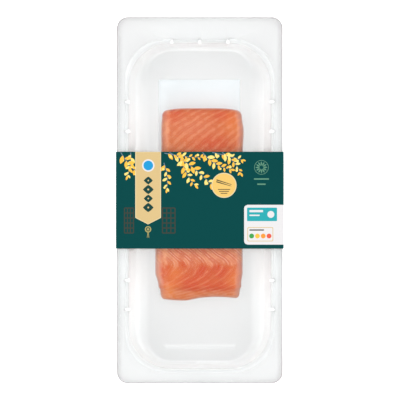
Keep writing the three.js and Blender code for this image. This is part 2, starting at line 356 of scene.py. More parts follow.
@dataclass(frozen=True)
class PolypropyleneSheet:
    """Natural polypropylene, thermoformed from 0.5 mm sheet: milky, half see-through, with a soft gloss.

    Light spreads inside the sheet and comes out on its other side. The thick flange and rolled lip are greyer
    than the thin drawn walls, and the mesh's tone, from 0 to 1, says so. The tone is mostly painted light and
    shade: walls painted bright as if lit through, floor, flange and lip painted darker, painted shade lines,
    lug and rib highlights and corners, and lighter milk next to the sleeve to cancel its shade.
    """

    # the dark and the bright milk that the tone mixes: painted shade and painted light as much as thickness
    thick: str = "#716b6c"
    drawn: str = "#f9ffff"
    opacity: float = 0.9
    scatter: float = 1.0
    scatter_reach: float = 6.0  # mm that light travels inside the sheet
    roughness: float = 0.3
    refraction: float = 1.49
    flow_mark: float = 9.0  # mm between the faint waves that forming leaves
    flow_depth: float = 0.012  # mm

    def material(self) -> bpy.types.Material:
        """Builds the node tree: the two milks mixed by the tone of painted light and shade, over faint flow
        marks.

        Returns:
            The material.
        """
        finish = Finish("polypropylene_thermoformed")
        tone = add(finish.tree, "ShaderNodeAttribute", attribute_name="tone").outputs["Fac"]
        _, normal = finish.relief(self.flow_mark, self.flow_depth)
        return finish.done(linear(self.thick), ((tone, linear(self.drawn)),), {
            "Roughness": self.roughness, "IOR": self.refraction, "Alpha": self.opacity,
            "Subsurface Weight": self.scatter, "Subsurface Radius": (1.0, 1.0, 1.0),
            "Subsurface Scale": self.scatter_reach * MM, "Normal": normal})


@dataclass(frozen=True)
class SealingFilm:
    """Clear polyester film, 0.06 mm thick, heat-sealed taut: glossy from the side, hardly seen from above.

    Its faint tension waves run across the pack and break up the reflections. It reflects little light from
    straight ahead, and more with the fifth power of the slant.
    """

    tint: str = "#fefefe"
    roughness: float = 0.06
    straight_gloss: float = 0.018
    slant_gloss: float = 0.9
    wave: float = 28.0  # mm between tension waves
    wave_depth: float = 0.05  # mm

    def material(self) -> bpy.types.Material:
        """Builds the node tree: a clear surface and a glossy one, mixed by the slant, over waves.

        Returns:
            The material.
        """
        finish = Finish("polyester_film_clear")
        _, normal = finish.relief(self.wave, self.wave_depth, 1.5, stretch=(0.35, 1.0, 1.0))
        slant = add(finish.tree, "ShaderNodeLayerWeight", {"Blend": 0.5, "Normal": normal})
        steep = add(finish.tree, "ShaderNodeMath", {0: slant.outputs["Facing"], 1: 5.0}, operation="POWER")
        share = add(finish.tree, "ShaderNodeMath", {
            0: steep.outputs[0], 1: self.slant_gloss, 2: self.straight_gloss}, operation="MULTIPLY_ADD")
        clear = add(finish.tree, "ShaderNodeBsdfTransparent", {"Color": linear(self.tint)})
        gloss = add(finish.tree, "ShaderNodeBsdfAnisotropic", {
            "Color": (1, 1, 1, 1), "Roughness": self.roughness, "Normal": normal})
        film = add(finish.tree, "ShaderNodeMixShader", {
            0: share.outputs[0], 1: clear.outputs[0], 2: gloss.outputs[0]})
        add(finish.tree, "ShaderNodeOutputMaterial", {"Surface": film.outputs[0]})
        return finish.material


@dataclass(frozen=True)
class CoatedCarton:
    """Folding carton, 0.45 mm, offset printed in one deep green and varnished to a satin, bare board inside.

    The print wears a little paler along the folds, and the board's fibres show in the gloss.
    """

    green: str = "#004141"
    worn: str = "#2a6463"
    board: str = "#d9d5cb"
    roughness: float = 0.6
    varnish: float = 0.05
    scuff: float = 3.0  # mm across a scuffed patch
    fibre: float = 0.35  # mm
    fibre_depth: float = 0.006  # mm

    def material(self) -> bpy.types.Material:
        """Builds the node tree: green, paler at the folds and bare inside, over paper fibres.

        Returns:
            The material.
        """
        finish = Finish("folding_carton_satin_varnish")
        fold, bare = (add(finish.tree, "ShaderNodeAttribute", attribute_name=name).outputs["Fac"]
                      for name in ("fold", "bare"))
        scuff = add(finish.tree, "ShaderNodeTexNoise", {
            "Vector": finish.place, "Scale": pattern(self.scuff), "Detail": 4.0})
        wear = add(finish.tree, "ShaderNodeMath", {0: fold, 1: scuff.outputs[0]}, operation="MULTIPLY")
        _, normal = finish.relief(self.fibre, self.fibre_depth, 3.0)
        layers = (wear.outputs[0], linear(self.worn)), (bare, linear(self.board))
        return finish.done(linear(self.green), layers, {
            "Roughness": self.roughness, "Coat Weight": self.varnish, "Coat Roughness": 0.3,
            "Specular IOR Level": 0.04, "Normal": normal})


class Ink(Enum):
    """The sleeve's printing inks and their colours."""

    GOLD = "#d1b680"
    PALE_GOLD = "#dbcba1"
    YELLOW = "#f3ba44"
    LIGHT_YELLOW = "#f2da7c"
    TWIG = "#64798a"
    DARK_GREEN = "#0c3d38"
    BADGE = "#e5bd69"
    BROWN = "#363c34"
    BLUE = "#1d94cd"
    WHITE = "#dddbdc"
    TEAL = "#27a1a8"
    LEAF_GREEN = "#3f9a4a"
    ORANGE = "#f0953a"
    CORAL = "#df5a45"
    SAGE = "#5b8c74"
    DULL_GOLD = "#a59a60"


@dataclass(frozen=True)
class OffsetInk:
    """Offset ink under the same satin varnish: flat colour with the faint mottle of an even solid print."""

    ink: Ink
    roughness: float = 0.45
    varnish: float = 0.05
    mottle: float = 0.5  # mm
    darkest: float = 0.9  # as a share of the ink's brightness

    def material(self) -> bpy.types.Material:
        """Builds the node tree: the ink's colour, a few per cent darker in a fine mottle.

        Returns:
            The material.
        """
        finish = Finish(f"offset_ink_{self.ink.name.lower()}")
        colour = linear(self.ink.value)
        darker = (*(self.darkest * share for share in colour[:3]), 1.0)
        grain = add(finish.tree, "ShaderNodeTexNoise", {
            "Vector": finish.place, "Scale": pattern(self.mottle), "Detail": 2.0}).outputs[0]
        return finish.done(colour, ((grain, darker),), {
            "Roughness": self.roughness, "Coat Weight": self.varnish, "Coat Roughness": 0.3,
            "Specular IOR Level": 0.12})


@dataclass(frozen=True)
class CelluloseNonwoven:
    """Airlaid cellulose under a perforated nonwoven face: a matt white pad of fine crossing fibres.

    The light table's light through the tray and the loose fibres is a painted glow, which also lifts the
    pad's shade beside the fillet. More glow is painted in a band near its left edge and towards its right
    edge, which the mesh's glow share says, from 0 to 1.
    """

    white: str = "#c2c8cb"
    shade: str = "#b6bec2"
    through: str = "#f0f4f4"
    # painted glow: emission standing in for light through the pad, which lifts its shade
    glow: float = 0.378
    extra_glow: float = 0.07
    roughness: float = 0.9
    fibre: float = 0.8  # mm, coarser than the real 0.02 mm so that it shows
    fibre_depth: float = 0.05  # mm

    def material(self) -> bpy.types.Material:
        """Builds the node tree: fibres drawn as stretched noise, in colour and bump, under a painted glow.

        Returns:
            The material.
        """
        finish = Finish("cellulose_nonwoven")
        fibres, normal = finish.relief(self.fibre, self.fibre_depth, 4.0, (1.0, 0.3, 1.0), 1.2)
        # where more glow is painted
        thin = add(finish.tree, "ShaderNodeAttribute", attribute_name="painted_glow_share").outputs["Fac"]
        glow = add(finish.tree, "ShaderNodeMath", {0: thin, 1: self.extra_glow, 2: self.glow},
                   operation="MULTIPLY_ADD")
        return finish.done(linear(self.shade), ((fibres, linear(self.white)),), {
            "Roughness": self.roughness, "Emission Color": linear(self.through),
            "Emission Strength": glow.outputs[0], "Normal": normal})


@dataclass(frozen=True)
class RawSalmon:
    """Raw salmon flesh, skinned and cut: moist, softly see-through orange muscle with pale seams of fat.

    The seams lie where the phase that the mesh carries is a whole number, wandering a little. Each is a soft
    broken band with a thin pale core, and fine threads lie between them. Flush is where the muscle is deeper
    orange, pallor where its face is dull, gold where it is yellower and where painted light lifts the thin
    end's shade, wisp where fat shows in threads, rim where a painted highlight runs along its upper edge, and
    left and right are its sides.
    """

    muscle: str = "#cc6733"
    deep: str = "#c83d00"
    pale: str = "#d0704e"
    fat: str = "#e2966a"
    thin_fat: str = "#ecb092"
    # the colour of the painted highlight along the upper edge
    rim: str = "#eca67c"
    gold: str = "#e17c35"
    left_side: str = "#dc9781"
    right_side: str = "#d08c79"
    patch: float = 9.0  # mm across a patch of colour
    break_length: float = 4.5  # mm between the breaks in a seam
    wander: float = 14.0  # mm over which a seam wanders
    ragged: float = 2.6  # mm between the notches in its edge
    thread: float = 0.9  # mm between muscle fibres
    relief: float = 0.08  # mm
    roughness: float = 0.36
    wetness: float = 0.1

    # Each step names a value, how it is made and what from. SMOOTHSTEP rises from 0 to 1 between two limits.
    # The first rows find how far the nearest seam is, in phases. The others find how much of a layer shows.
    steps: tuple[tuple[Any, ...], ...] = (
        ("seam", "MULTIPLY_ADD", "wander", 0.6, "phase"),
        ("ragged_seam", "MULTIPLY_ADD", "ragged", 0.3, "seam"),
        ("from_seam", "PINGPONG", "ragged_seam", 0.5),
        ("band", "SMOOTHSTEP", "from_seam", 0.42, 0.06),
        ("core", "SMOOTHSTEP", "from_seam", 0.12, 0.0),
        ("finer", "MULTIPLY", "seam", 3.0),
        ("from_thread", "PINGPONG", "finer", 0.5),
        ("threads", "SMOOTHSTEP", "from_thread", 0.28, 0.05),
        ("broken", "SMOOTHSTEP", "breaks", 0.32, 0.62),
        ("patchy", "SMOOTHSTEP", "patches", 0.3, 0.6),
        ("uneven", "MULTIPLY_ADD", "patchy", 0.5, 0.4),
        ("flushed", "MULTIPLY", "flush", "uneven"),
        ("mostly", "MULTIPLY_ADD", "broken", 0.7, 0.3),
        # the rim's painted highlight, broken in places
        ("painted_edge_highlight", "MULTIPLY", "rim", "mostly"),
        ("wispy", "MULTIPLY_ADD", "wisp", 0.72, 0.1),
        ("broken_wisps", "MULTIPLY", "wispy", "broken"),
        ("threaded", "MULTIPLY", "threads", "broken_wisps"),
        ("streak", "MULTIPLY_ADD", "broken", 0.38, 0.1),
        ("wider_streak", "MULTIPLY_ADD", "wisp", 0.12, "streak"),
        ("unflushed", "MULTIPLY_ADD", "flush", -0.8, 1.0),
        ("soft", "MULTIPLY", "wider_streak", "unflushed"),
        ("banded", "MULTIPLY", "band", "soft"),
        ("crisp", "MULTIPLY_ADD", "flush", 0.3, 0.2),
        ("nearly_whole", "MULTIPLY_ADD", "broken", 0.8, 0.2),
        ("crisp_core", "MULTIPLY", "crisp", "nearly_whole"),
        ("cored", "MULTIPLY", "core", "crisp_core"),
        ("fibre_height", "MULTIPLY", "grain", 0.5),
        ("thread_height", "MULTIPLY", "threads", -0.5),
        ("height", "ADD", "fibre_height", "thread_height"),
    )

    def material(self) -> bpy.types.Material:
        """Builds the node tree: muscle, its flush, pallor and edges, and fat in seams, under a moist coat.

        Returns:
            The material.
        """
        finish = Finish("raw_salmon_flesh")
        value = {name: add(finish.tree, "ShaderNodeAttribute", attribute_name=name).outputs["Fac"]
                 for name in ("phase", "flush", "pallor", "wisp", "gold", "rim", "left", "right")}
        for name, size, detail in (("patches", self.patch, 3.0), ("wander", self.wander, 1.0),
                                   ("ragged", self.ragged, 2.0), ("breaks", self.break_length, 2.0),
                                   ("grain", self.thread, 3.0)):
            value[name] = add(finish.tree, "ShaderNodeTexNoise", {
                "Vector": finish.place, "Scale": pattern(size), "Detail": detail}).outputs[0]
        for name, operation, *terms in self.steps:
            terms = [value.get(term, term) for term in terms]
            if operation == "SMOOTHSTEP":
                limits = dict(zip(("Value", "From Min", "From Max"), terms))
                node = add(finish.tree, "ShaderNodeMapRange", limits, interpolation_type=operation)
            else:
                node = add(finish.tree, "ShaderNodeMath", dict(enumerate(terms)), operation=operation)
            value[name] = node.outputs[0]
        bump = add(finish.tree, "ShaderNodeBump", {"Height": value["height"], "Distance": self.relief * MM})
        layers = tuple((value[name], linear(over)) for name, over in (
            ("flushed", self.deep), ("pallor", self.pale), ("gold", self.gold), ("painted_edge_highlight", self.rim),
            ("left", self.left_side), ("right", self.right_side), ("threaded", self.thin_fat),
            ("banded", self.fat), ("cored", self.fat)))
        return finish.done(linear(self.muscle), layers, {
            "Roughness": self.roughness, "IOR": 1.35, "Specular IOR Level": 0.3,
            "Subsurface Weight": 0.25, "Subsurface Radius": (1.0, 0.45, 0.3), "Subsurface Scale": 2.5 * MM,
            "Coat Weight": self.wetness, "Coat Roughness": 0.15, "Normal": bump.outputs[0]})


@dataclass(frozen=True)
class StudioPaper:
    """Matt white background paper on a light table, which shines through it a little."""

    white: str = "#fdfdfd"
    glow: float = 0.9
    roughness: float = 0.95
    tooth: float = 0.6  # mm
    tooth_depth: float = 0.01  # mm

    def material(self) -> bpy.types.Material:
        """Builds the node tree: a white surface with a paper's faint tooth.

        Returns:
            The material.
        """
        finish = Finish("background_paper")
        _, normal = finish.relief(self.tooth, self.tooth_depth)
        return finish.done(linear(self.white), (), {
            "Roughness": self.roughness, "Specular IOR Level": 0.1, "Emission Color": (1, 1, 1, 1),
            "Emission Strength": self.glow, "Normal": normal})


# The studio


@dataclass(frozen=True)
class Softbox:
    """A square studio light that points at the pack."""

    name: str
    bearing: float  # degrees, anticlockwise from +X
    elevation: float  # degrees
    watts: float
    distance: float = 1300.0
    side: float = 900.0

    def build(self) -> None:
        """Places the light on a sphere round the pack."""
        bearing, elevation = math.radians(self.bearing), math.radians(self.elevation)
        light = bpy.data.lights.new(self.name, "AREA")
        light.energy, light.size = self.watts, self.side * MM
        lamp = bpy.data.objects.new(self.name, light)
        level = self.distance * MM * math.cos(elevation)
        lamp.location = (level * math.cos(bearing), level * math.sin(bearing),
                         self.distance * MM * math.sin(elevation))
        lamp.rotation_euler = (math.pi / 2 - elevation, 0, bearing + math.pi / 2)
        bpy.context.scene.collection.objects.link(lamp)


@dataclass(frozen=True)
class Studio:
    """White paper, soft light all round and a camera straight above the pack."""

    floor_side: float = 6000.0
    lens: float = 300.0
    sensor: float = 36.0
    ambient: float = 0.74
    softboxes: tuple[Softbox, ...] = (
        Softbox("softbox_right", 0, 52, 3.4),
        Softbox("softbox_left", 180, 52, 4.4),
        Softbox("softbox_far", 90, 52, 3.7),
        Softbox("softbox_near", 270, 52, 2.7),
    )

    def build(self) -> None:
        """Makes the floor, the lights and the camera."""
        scene = bpy.context.scene
        scene.view_settings.view_transform = "Standard"
        half = self.floor_side / 2 * MM
        corners = [(-half, -half, 0), (half, -half, 0), (half, half, 0), (-half, half, 0)]
        mesh = bpy.data.meshes.new("floor")
        mesh.from_pydata(corners, [], [(0, 1, 2, 3)])
        mesh.materials.append(StudioPaper().material())
        floor = bpy.data.objects.new("floor", mesh)
        scene.collection.objects.link(floor)
        for softbox in self.softboxes:
            softbox.build()
        world = bpy.data.worlds.new("ambient")
        world.use_nodes = True
        background = world.node_tree.nodes["Background"]
        background.inputs["Color"].default_value = (1, 1, 1, 1)
        background.inputs["Strength"].default_value = self.ambient
        scene.world = world
        self.camera()

    def camera(self) -> None:
        """Makes the camera, whose frame at the rim's height is as wide as the photograph's."""
        data = bpy.data.cameras.new("camera")
        data.lens, data.sensor_width = self.lens, self.sensor
        camera = bpy.data.objects.new("camera", data)
        rim = node_box("tray")[1][2]
        distance = PHOTO_SIDE * PIXEL * self.lens / self.sensor
        x, y = from_photo(PHOTO_SIDE / 2, PHOTO_SIDE / 2)
        camera.location = (x * MM, y * MM, (rim + distance) * MM)
        bpy.context.scene.collection.objects.link(camera)
        bpy.context.scene.camera = camera


# The tray


@dataclass(frozen=True)
class Stations:
    """Where the points of a rounded rectangle lie round it: the same places serve rings of every size.

    A station is on a corner's arc, at an angle, or on a straight side, at a place along the pack's own axis.
    """

    corner: np.ndarray  # the corner's signs in X and Y, or 0 and 0 on a straight side
    normal: np.ndarray  # the outward direction
    along: np.ndarray  # the place along a straight side

    @classmethod
    def spread(cls, quarter: np.ndarray, across: np.ndarray, lengthways: np.ndarray) -> "Stations":
        """Lays the stations out anticlockwise, from the +X side's end.

        Args:
            quarter: The angles of a corner's stations, from 0 to 90 degrees.
            across: The places in X on the two end sides, rising.
            lengthways: The places in Y on the two long sides, rising.

        Returns:
            The stations.
        """
        corners, normals, places = [], [], []
        signs = ((1, 1), (-1, 1), (-1, -1), (1, -1))
        sides = (across[::-1], lengthways[::-1], across, lengthways)
        for turn, (sign, side) in enumerate(zip(signs, sides)):
            angle = np.radians(90 * turn + quarter)
            facing = np.radians(90 * (turn + 1))
            straight = np.round([math.cos(facing), math.sin(facing)])
            corners += [np.tile(sign, (len(angle), 1)), np.zeros((len(side), 2))]
            normals += [np.stack([np.cos(angle), np.sin(angle)], -1), np.tile(straight, (len(side), 1))]
            places += [np.zeros(len(angle)), side]
        return cls(np.vstack(corners).astype(float), np.vstack(normals), np.concatenate(places))

    def ring(self, half: np.ndarray, radius: np.ndarray, shift: float | np.ndarray = 0.0) -> np.ndarray:
        """The outline in plan: a corner's centre plus its radius times the normal, or a place along a side.

        Args:
            half: Each ring's half width and half length.
            radius: Each ring's corner radius.
            shift: How far each ring's middle lies along +Y.

        Returns:
            An array of rings, stations and two coordinates.
        """
        shift = np.broadcast_to(shift, len(half))
        middle = np.stack([np.zeros(len(half)), shift], -1)[:, None]
        centre = half - radius[:, None]
        arc = self.corner * centre[:, None] + radius[:, None, None] * self.normal + middle
        side = np.abs(self.normal) * (half[:, None] * np.sign(self.normal) + middle)
        side = side + (1 - np.abs(self.normal)) * self.along[:, None]
        return np.where(np.abs(self.corner).sum(1)[:, None] > 0, arc, side)


class Ring(NamedTuple):
    """One ring of the tray's sheet, or the values of many rings, each as a column."""

    half_width: float | np.ndarray
    half_length: float | np.ndarray
    shift: float | np.ndarray  # how far its middle lies along +Y
    corner: float | np.ndarray  # its corner radius
    height: float | np.ndarray  # above the tray's base
    outside: float | np.ndarray  # how far outside the cavity's edge it lies, at the long walls
    scale: float | np.ndarray = 1.0  # how far it is drawn in towards its middle, for the floor


@dataclass(frozen=True)
class Tones:
    """How bright the milk is painted, from 0 to 1, at four places along the pack: painted light and shade."""

    lower_end: float
    below_sleeve: float
    above_sleeve: float
    upper_end: float

    def along(self, y: np.ndarray, near: np.ndarray) -> np.ndarray:
        """The tone at places along the pack, where near says how close the sleeve is, from 0 to 1; near the
        sleeve it is painted lighter to cancel the sleeve's shade.
        """
        end = np.where(y > 0, self.upper_end, self.lower_end)
        return end + (np.where(y > 0, self.above_sleeve, self.below_sleeve) - end) * near


@dataclass
class Tray:
    """The thermoformed tray: a deep cavity with rounded walls, a seal groove round it and a rolled lip."""

    sheet: float = 0.8
    rim_corner: float = 8.0
    lip_radius: float = 2.2
    lip_drop: float = 3.6
    cavity_width: float = 102.6
    cavity_length: float = 235.0
    cavity_shift: float = -4.1
    cavity_corner: float = 31.0
    edge_radius: float = 1.2
    draft: float = 3.8
    floor_curve: float = 11.0
    end_steepness: float = 0.33  # how far the end walls lean and curve in, as a share of the long walls' lean
    groove_offset: float = 2.6
    groove_half: float = 0.9
    groove_depth: float = 0.45
    groove_corners: Pair = (28.0, 28.5)  # at its inner and its outer side
    lug_radius: float = 1.05
    lug_flare: float = 0.3  # how much wider a lug is than its own round
    lug_offset: float = 1.7
    lug_depth: float = 5.0
    side_lugs: tuple[float, ...] = (71.2, 49.8, -57.9, -79.1)
    end_lugs: tuple[float, ...] = (-20.2, 0.0, 20.2)
    rib_half: float = 26.0
    rib_width: float = 3.2
    rib_rise: float = 0.5
    rib_place: float = -107.0

    # The tones paint light and shade into the milk: bright walls, a darker floor and flange, lighter next to
    # the sleeve to cancel its shade.
    floor_tone: Tones = Tones(0.355, 0.45, 0.47, 0.38)
    curve_tone: Tones = Tones(0.375, 0.5, 0.48, 0.35)
    wall_tone: Tones = Tones(0.94, 1.0, 1.0, 0.73)
    end_tone: Tones = Tones(0.97, 0.95, 0.95, 0.97)
    flange_tone: Tones = Tones(0.355, 0.44, 0.43, 0.325)
    sleeve_shade_lift: Pair = (95.0, 40.0)  # mm from the pack's middle, where the painted light that cancels the sleeve's shade starts and is full
    floor_end: Pair = (-14.5, -11.0)  # mm outside the cavity's edge, like the next two
    flange_start: Pair = (0.2, 1.1)
    wall_foot: tuple[float, ...] = (-10.5, -8.5, -5.8, -3.8, -2.5)
    wall_share: tuple[float, ...] = (0.0, 0.08, 0.38, 0.85, 1.0)  # the wall's share of the tone, up its foot
    end_foot: Pair = (0.3, 0.5)  # the lower and upper end wall's foot, as a share of its tone
    lip_insets: tuple[float, ...] = (0.2, 1.0, 1.8, 2.5, 4.6)  # mm inside the rim, for the next two
    side_lip_shade: tuple[float, ...] = (0.0, 0.84, 0.76, 0.86, 1.03)  # painted shade on the rolled lip, as shares of the flange's tone, like the next
    end_lip_shade: tuple[float, ...] = (0.0, 0.95, 0.85, 0.93, 1.0)
    painted_corner_shade: float = 0.06  # painted shade: how much darker the flange is painted in the corners
    corner_across: Pair = (15.0, 45.0)  # mm from the pack's middle, where that sets in
    corner_along: Pair = (92.0, 106.0)
    line_width: float = 0.5
    edge_line: float = 0.45  # mm outside the cavity's edge, where a line of painted shade lies
    edge_shade_tone: float = 0.5
    seal_line: float = 1.95  # mm outside the cavity's edge, where a light line is painted: partly the pressed seal, partly a painted highlight
    seal_light_tone: float = 0.5
    lug_highlight_tones: Pair = (0.46, 0.62)  # painted highlight: the tone round a lug's rim and in its middle
    lug_highlight_middle: float = 1.7  # mm outside the cavity's edge, the middle of a lug's painted highlight
    lug_highlight_reach: float = 0.9
    # painted highlight: the tone of a light band along the floor's rib
    rib_highlight_tone: float = 0.42
    rib_highlight_spread: float = 2.2  # how much wider its painted highlight is than the rib

    def __post_init__(self) -> None:
        """Reads the tray's place and outer size from the frame."""
        low, high = node_box("tray")
        self.bottom = float(low[2])
        self.height = float(high[2] - low[2])
        self.half = (high[:2] - low[:2]) / 2

    def stations(self) -> Stations:
        """Places the stations: even round the corners and along the sides, and close together at the lugs.

        Returns:
            The stations, for every ring.
        """
        fine = np.linspace(-1.8, 1.8, 17)
        quarter = np.concatenate([np.arange(0, 6, 0.75), np.arange(6, 84, 3), np.arange(84, 90.1, 0.75)])
        ends = np.concatenate([np.arange(-18, 18.1, 1.5)] + [lug + fine for lug in self.end_lugs])
        sides = np.concatenate([np.arange(-88, 80, 4.0)] + [lug + fine for lug in self.side_lugs])
        ends = np.unique(ends[np.abs(ends) < max(self.end_lugs)].round(2))
        return Stations.spread(quarter, ends, np.unique(sides.round(2)))

    def cavity_ring(self, outside: float, height: float, corner: float | None = None, scale: float = 1.0,
                    skin: float = 0.0) -> Ring:
        """A ring at a distance outside the cavity's edge, which goes in less at the steep end walls.

        Args:
            outside: That distance, at the long walls.
            height: The ring's height above the tray's base.
            corner: Its corner radius, if it isn't parallel to the cavity's edge.
            scale: How far the ring is drawn in towards its middle, for the floor.
            skin: How far its face of the sheet lies outside the inner one.

        Returns:
            The ring.
        """
        radius = self.cavity_corner + outside if corner is None else corner
        less = (1 - self.end_steepness) * max(0.0, skin - outside)
        half_width, half_length = self.cavity_width / 2 + outside, self.cavity_length / 2 + outside + less
        return Ring(half_width, half_length, self.cavity_shift, radius, height, outside, scale)

    def rim_ring(self, inset: float, height: float) -> Ring:
        """A ring inside the rim's outline, too far out for the lugs."""
        half_width, half_length = self.half - inset
        return Ring(half_width, half_length, 0.0, self.rim_corner - inset, height, math.inf)

    def rings(self, skin: float) -> list[Ring]:
        """The rings of one face of the sheet, from the middle of the floor out to the lip.

        Args:
            skin: 0 for the upper face, or the sheet's thickness for the lower one, outside and under it.

        Returns:
            The rings: the floor, the quarter circle round it, the wall, its edge, the groove and the lip.
        """
        foot = -self.draft - self.floor_curve
        lean = math.atan2(self.draft, self.height - self.sheet - self.floor_curve)
        curve, edge = self.floor_curve + skin, self.edge_radius - skin
        scales = np.concatenate([np.linspace(0.03, 0.86, 12), np.linspace(0.875, 0.95, 22), [0.975, 0.997]])
        found = [self.cavity_ring(foot, self.sheet - skin, scale=scale, skin=skin) for scale in scales]
        for angle in np.linspace(0, math.pi / 2 - lean, 15):
            height = self.sheet + self.floor_curve - curve * math.cos(angle)
            found.append(self.cavity_ring(foot + curve * math.sin(angle), height, skin=skin))
        start = found[-1]
        wide = self.edge_radius - edge * math.cos(lean) - start.outside
        high = self.height - self.edge_radius + edge * math.sin(lean) - start.height
        for share in np.concatenate([np.linspace(0.1, 0.6, 6), np.linspace(0.65, 0.99, 11)]):
            outside, height = start.outside + share * wide, start.height + share * high
            found.append(self.cavity_ring(outside, height, skin=skin))
        for angle in np.linspace(lean, math.pi / 2, 6):
            found.append(self.cavity_ring(self.edge_radius - edge * math.cos(angle),
                                          self.height - self.edge_radius + edge * math.sin(angle)))
        for share in np.linspace(-1, 1, 9):
            outside = self.groove_offset + share * (self.groove_half + skin / 2)
            corner = float(np.interp(share, (-1, 1), self.groove_corners))
            height = self.height - skin - self.groove_depth * float(hump(share))
            found.append(self.cavity_ring(outside, height, corner))
        for inset in np.linspace(self.lip_radius + 2.4, self.lip_radius + 0.4, 5):
            found.append(self.rim_ring(inset, self.height - skin))
        radius = self.lip_radius - skin
        for angle in np.linspace(0, math.pi / 2, 8):
            found.append(self.rim_ring(self.lip_radius - radius * math.sin(angle),
                                       self.height - self.lip_radius + radius * math.cos(angle)))
        found.append(self.rim_ring(skin, self.height - self.lip_drop))
        return found

    def lugs(self, ring: Ring, stations: Stations, skin: np.ndarray) -> tuple[np.ndarray, np.ndarray]:
        """How far the stacking lugs push the wall and the groove outwards, and where a highlight is painted
        on them.

        A lug is a half-round flute in the wall's top: sqrt(1 - s^2) across it, closed below by a quarter of a
        circle. Beyond the wall, the rings up to the groove's far side are squeezed together. The painted
        highlight is a round bell.

        Args:
            ring: The rings' values.
            stations: The stations round each ring.
            skin: For each ring, how far it lies under the sheet's upper face.

        Returns:
            The push for each ring and station, and the painted highlight there, from 0 to 1.
        """
        half = np.array([[self.cavity_width / 2, self.cavity_length / 2]])
        place = stations.ring(half, np.array([self.cavity_corner]), self.cavity_shift)[0]
        facing = np.abs(stations.normal) > 0.9
        side = np.where(facing[:, :1], np.abs(place[:, 1:] - self.side_lugs), math.inf)
        upper_end = facing[:, 1:] & (stations.normal[:, 1:] > 0)
        end = np.where(upper_end, np.abs(place[:, :1] - self.end_lugs), math.inf)
        distance = np.minimum(side.min(1), end.min(1))
        across = np.sqrt(np.clip(1 - (distance / (self.lug_radius + self.lug_flare)) ** 2, 0, 1))
        outside = np.where(facing[:, 1], ring.half_length - self.cavity_length / 2, ring.outside)
        below = np.clip(self.height - ring.height - self.lug_depth + self.lug_radius, 0, None)
        deep = np.sqrt(np.clip(1 - (below / self.lug_radius) ** 2, 0, 1))
        reach = self.lug_offset + self.lug_radius + skin
        limit = self.groove_offset + self.groove_half + skin / 2
        share = np.clip((outside - self.edge_radius) / (limit - self.edge_radius), 0, 1)
        push = np.where(outside < limit, reach + share * (limit - reach) - outside, 0)
        push = across * np.clip(push, 0, None) * deep
        light = bell(outside + push, self.lug_highlight_middle, self.lug_highlight_reach) * bell(distance, 0, self.lug_highlight_reach)
        return push, light

    def shape(self) -> Shape:
        """The whole sheet: the upper face's rings out to the lip, then the lower face's back to the floor.

        Returns:
            The sheet, with its tone of painted light and shade.
        """
        stations = self.stations()
        upper, lower = self.rings(0.0), self.rings(self.sheet)[::-1]
        ring = Ring(*np.array(upper + lower).T[..., None])
        skin = np.repeat([0.0, self.sheet], [len(upper), len(lower)])[:, None]
        half = np.hstack([ring.half_width, ring.half_length])
        plan = stations.ring(half, ring.corner[:, 0], ring.shift[:, 0])
        middle = np.array([0, self.cavity_shift])
        plan = middle + ring.scale[..., None] * (plan - middle)
        push, light = self.lugs(ring, stations, skin)
        plan += push[..., None] * stations.normal
        across, along = plan[..., 0], plan[..., 1]
        from_rib = (along - self.rib_place) / (self.rib_width / 2)
        on_floor = smooth(4.0, 1.0, ring.height) * np.isfinite(ring.outside)
        on_floor = on_floor * smooth(self.rib_half + 1.0, self.rib_half - 1.0, np.abs(across))
        height = self.bottom + ring.height + self.rib_rise * hump(from_rib) * on_floor
        tone = self.tone(ring, stations, across, along)
        # paint the rib's highlight, a light band along it
        tone = tone + (self.rib_highlight_tone - tone) * hump(from_rib / self.rib_highlight_spread) * on_floor
        # paint the lugs' highlights into the tone
        dull, bright = self.lug_highlight_tones
        tone = tone + smooth(0.1, 0.6, push) * (dull + (bright - dull) * light - tone)
        shape = Shape.loft(np.stack([across, along, height], -1))
        shape.values["tone"] = np.append(tone.ravel(), [self.floor_tone.below_sleeve] * 2)
        return shape

    def tone(self, ring: Ring, stations: Stations, across: np.ndarray, along: np.ndarray) -> np.ndarray:
        """How bright the milk is painted, for light and shade: the floor's tone, then the curve's, the
        wall's, the flange's and the lip's.

        Narrow bells paint a shade line at the cavity's edge and a light line where the film is sealed on.

        Args:
            ring: The rings' values.
            stations: The stations round each ring.
            across: The place across the pack of each ring's stations.
            along: The place along the pack of each ring's stations.

        Returns:
            The tone of each ring at each station, from 0 to 1.
        """
        end = stations.normal[:, 1] ** 2
        # painted light: the milk is lighter near the sleeve, to cancel the sleeve's shade
        near = smooth(*self.sleeve_shade_lift, np.abs(along))
        floor, curve, wall, end_wall, flange = (tones.along(along, near) for tones in (
            self.floor_tone, self.curve_tone, self.wall_tone, self.end_tone, self.flange_tone))
        lower_foot, upper_foot = self.end_foot
        curve = curve + np.where(along > 0, upper_foot, lower_foot) * (end_wall - curve) * end
        wall = wall + (end_wall - wall) * end
        tone = floor + (curve - floor) * smooth(*self.floor_end, ring.outside)
        tone = tone + (wall - tone) * np.interp(ring.outside, self.wall_foot, self.wall_share)
        tone = tone + (flange - tone) * smooth(*self.flange_start, ring.outside)
        # a painted shade line at the cavity's edge and a painted light line along the seal
        for line, line_tone in ((self.edge_line, self.edge_shade_tone), (self.seal_line, self.seal_light_tone)):
            tone = tone + (line_tone - tone) * bell(ring.outside, line, self.line_width)
        # the rolled lip's painted shade
        side_lip_shade, end_lip_shade = (np.interp(self.half[0] - ring.half_width, self.lip_insets, tones)
                             for tones in (self.side_lip_shade, self.end_lip_shade))
        lip = flange * (side_lip_shade + (end_lip_shade - side_lip_shade) * end)
        tone = np.where(np.isfinite(ring.outside), tone, lip)
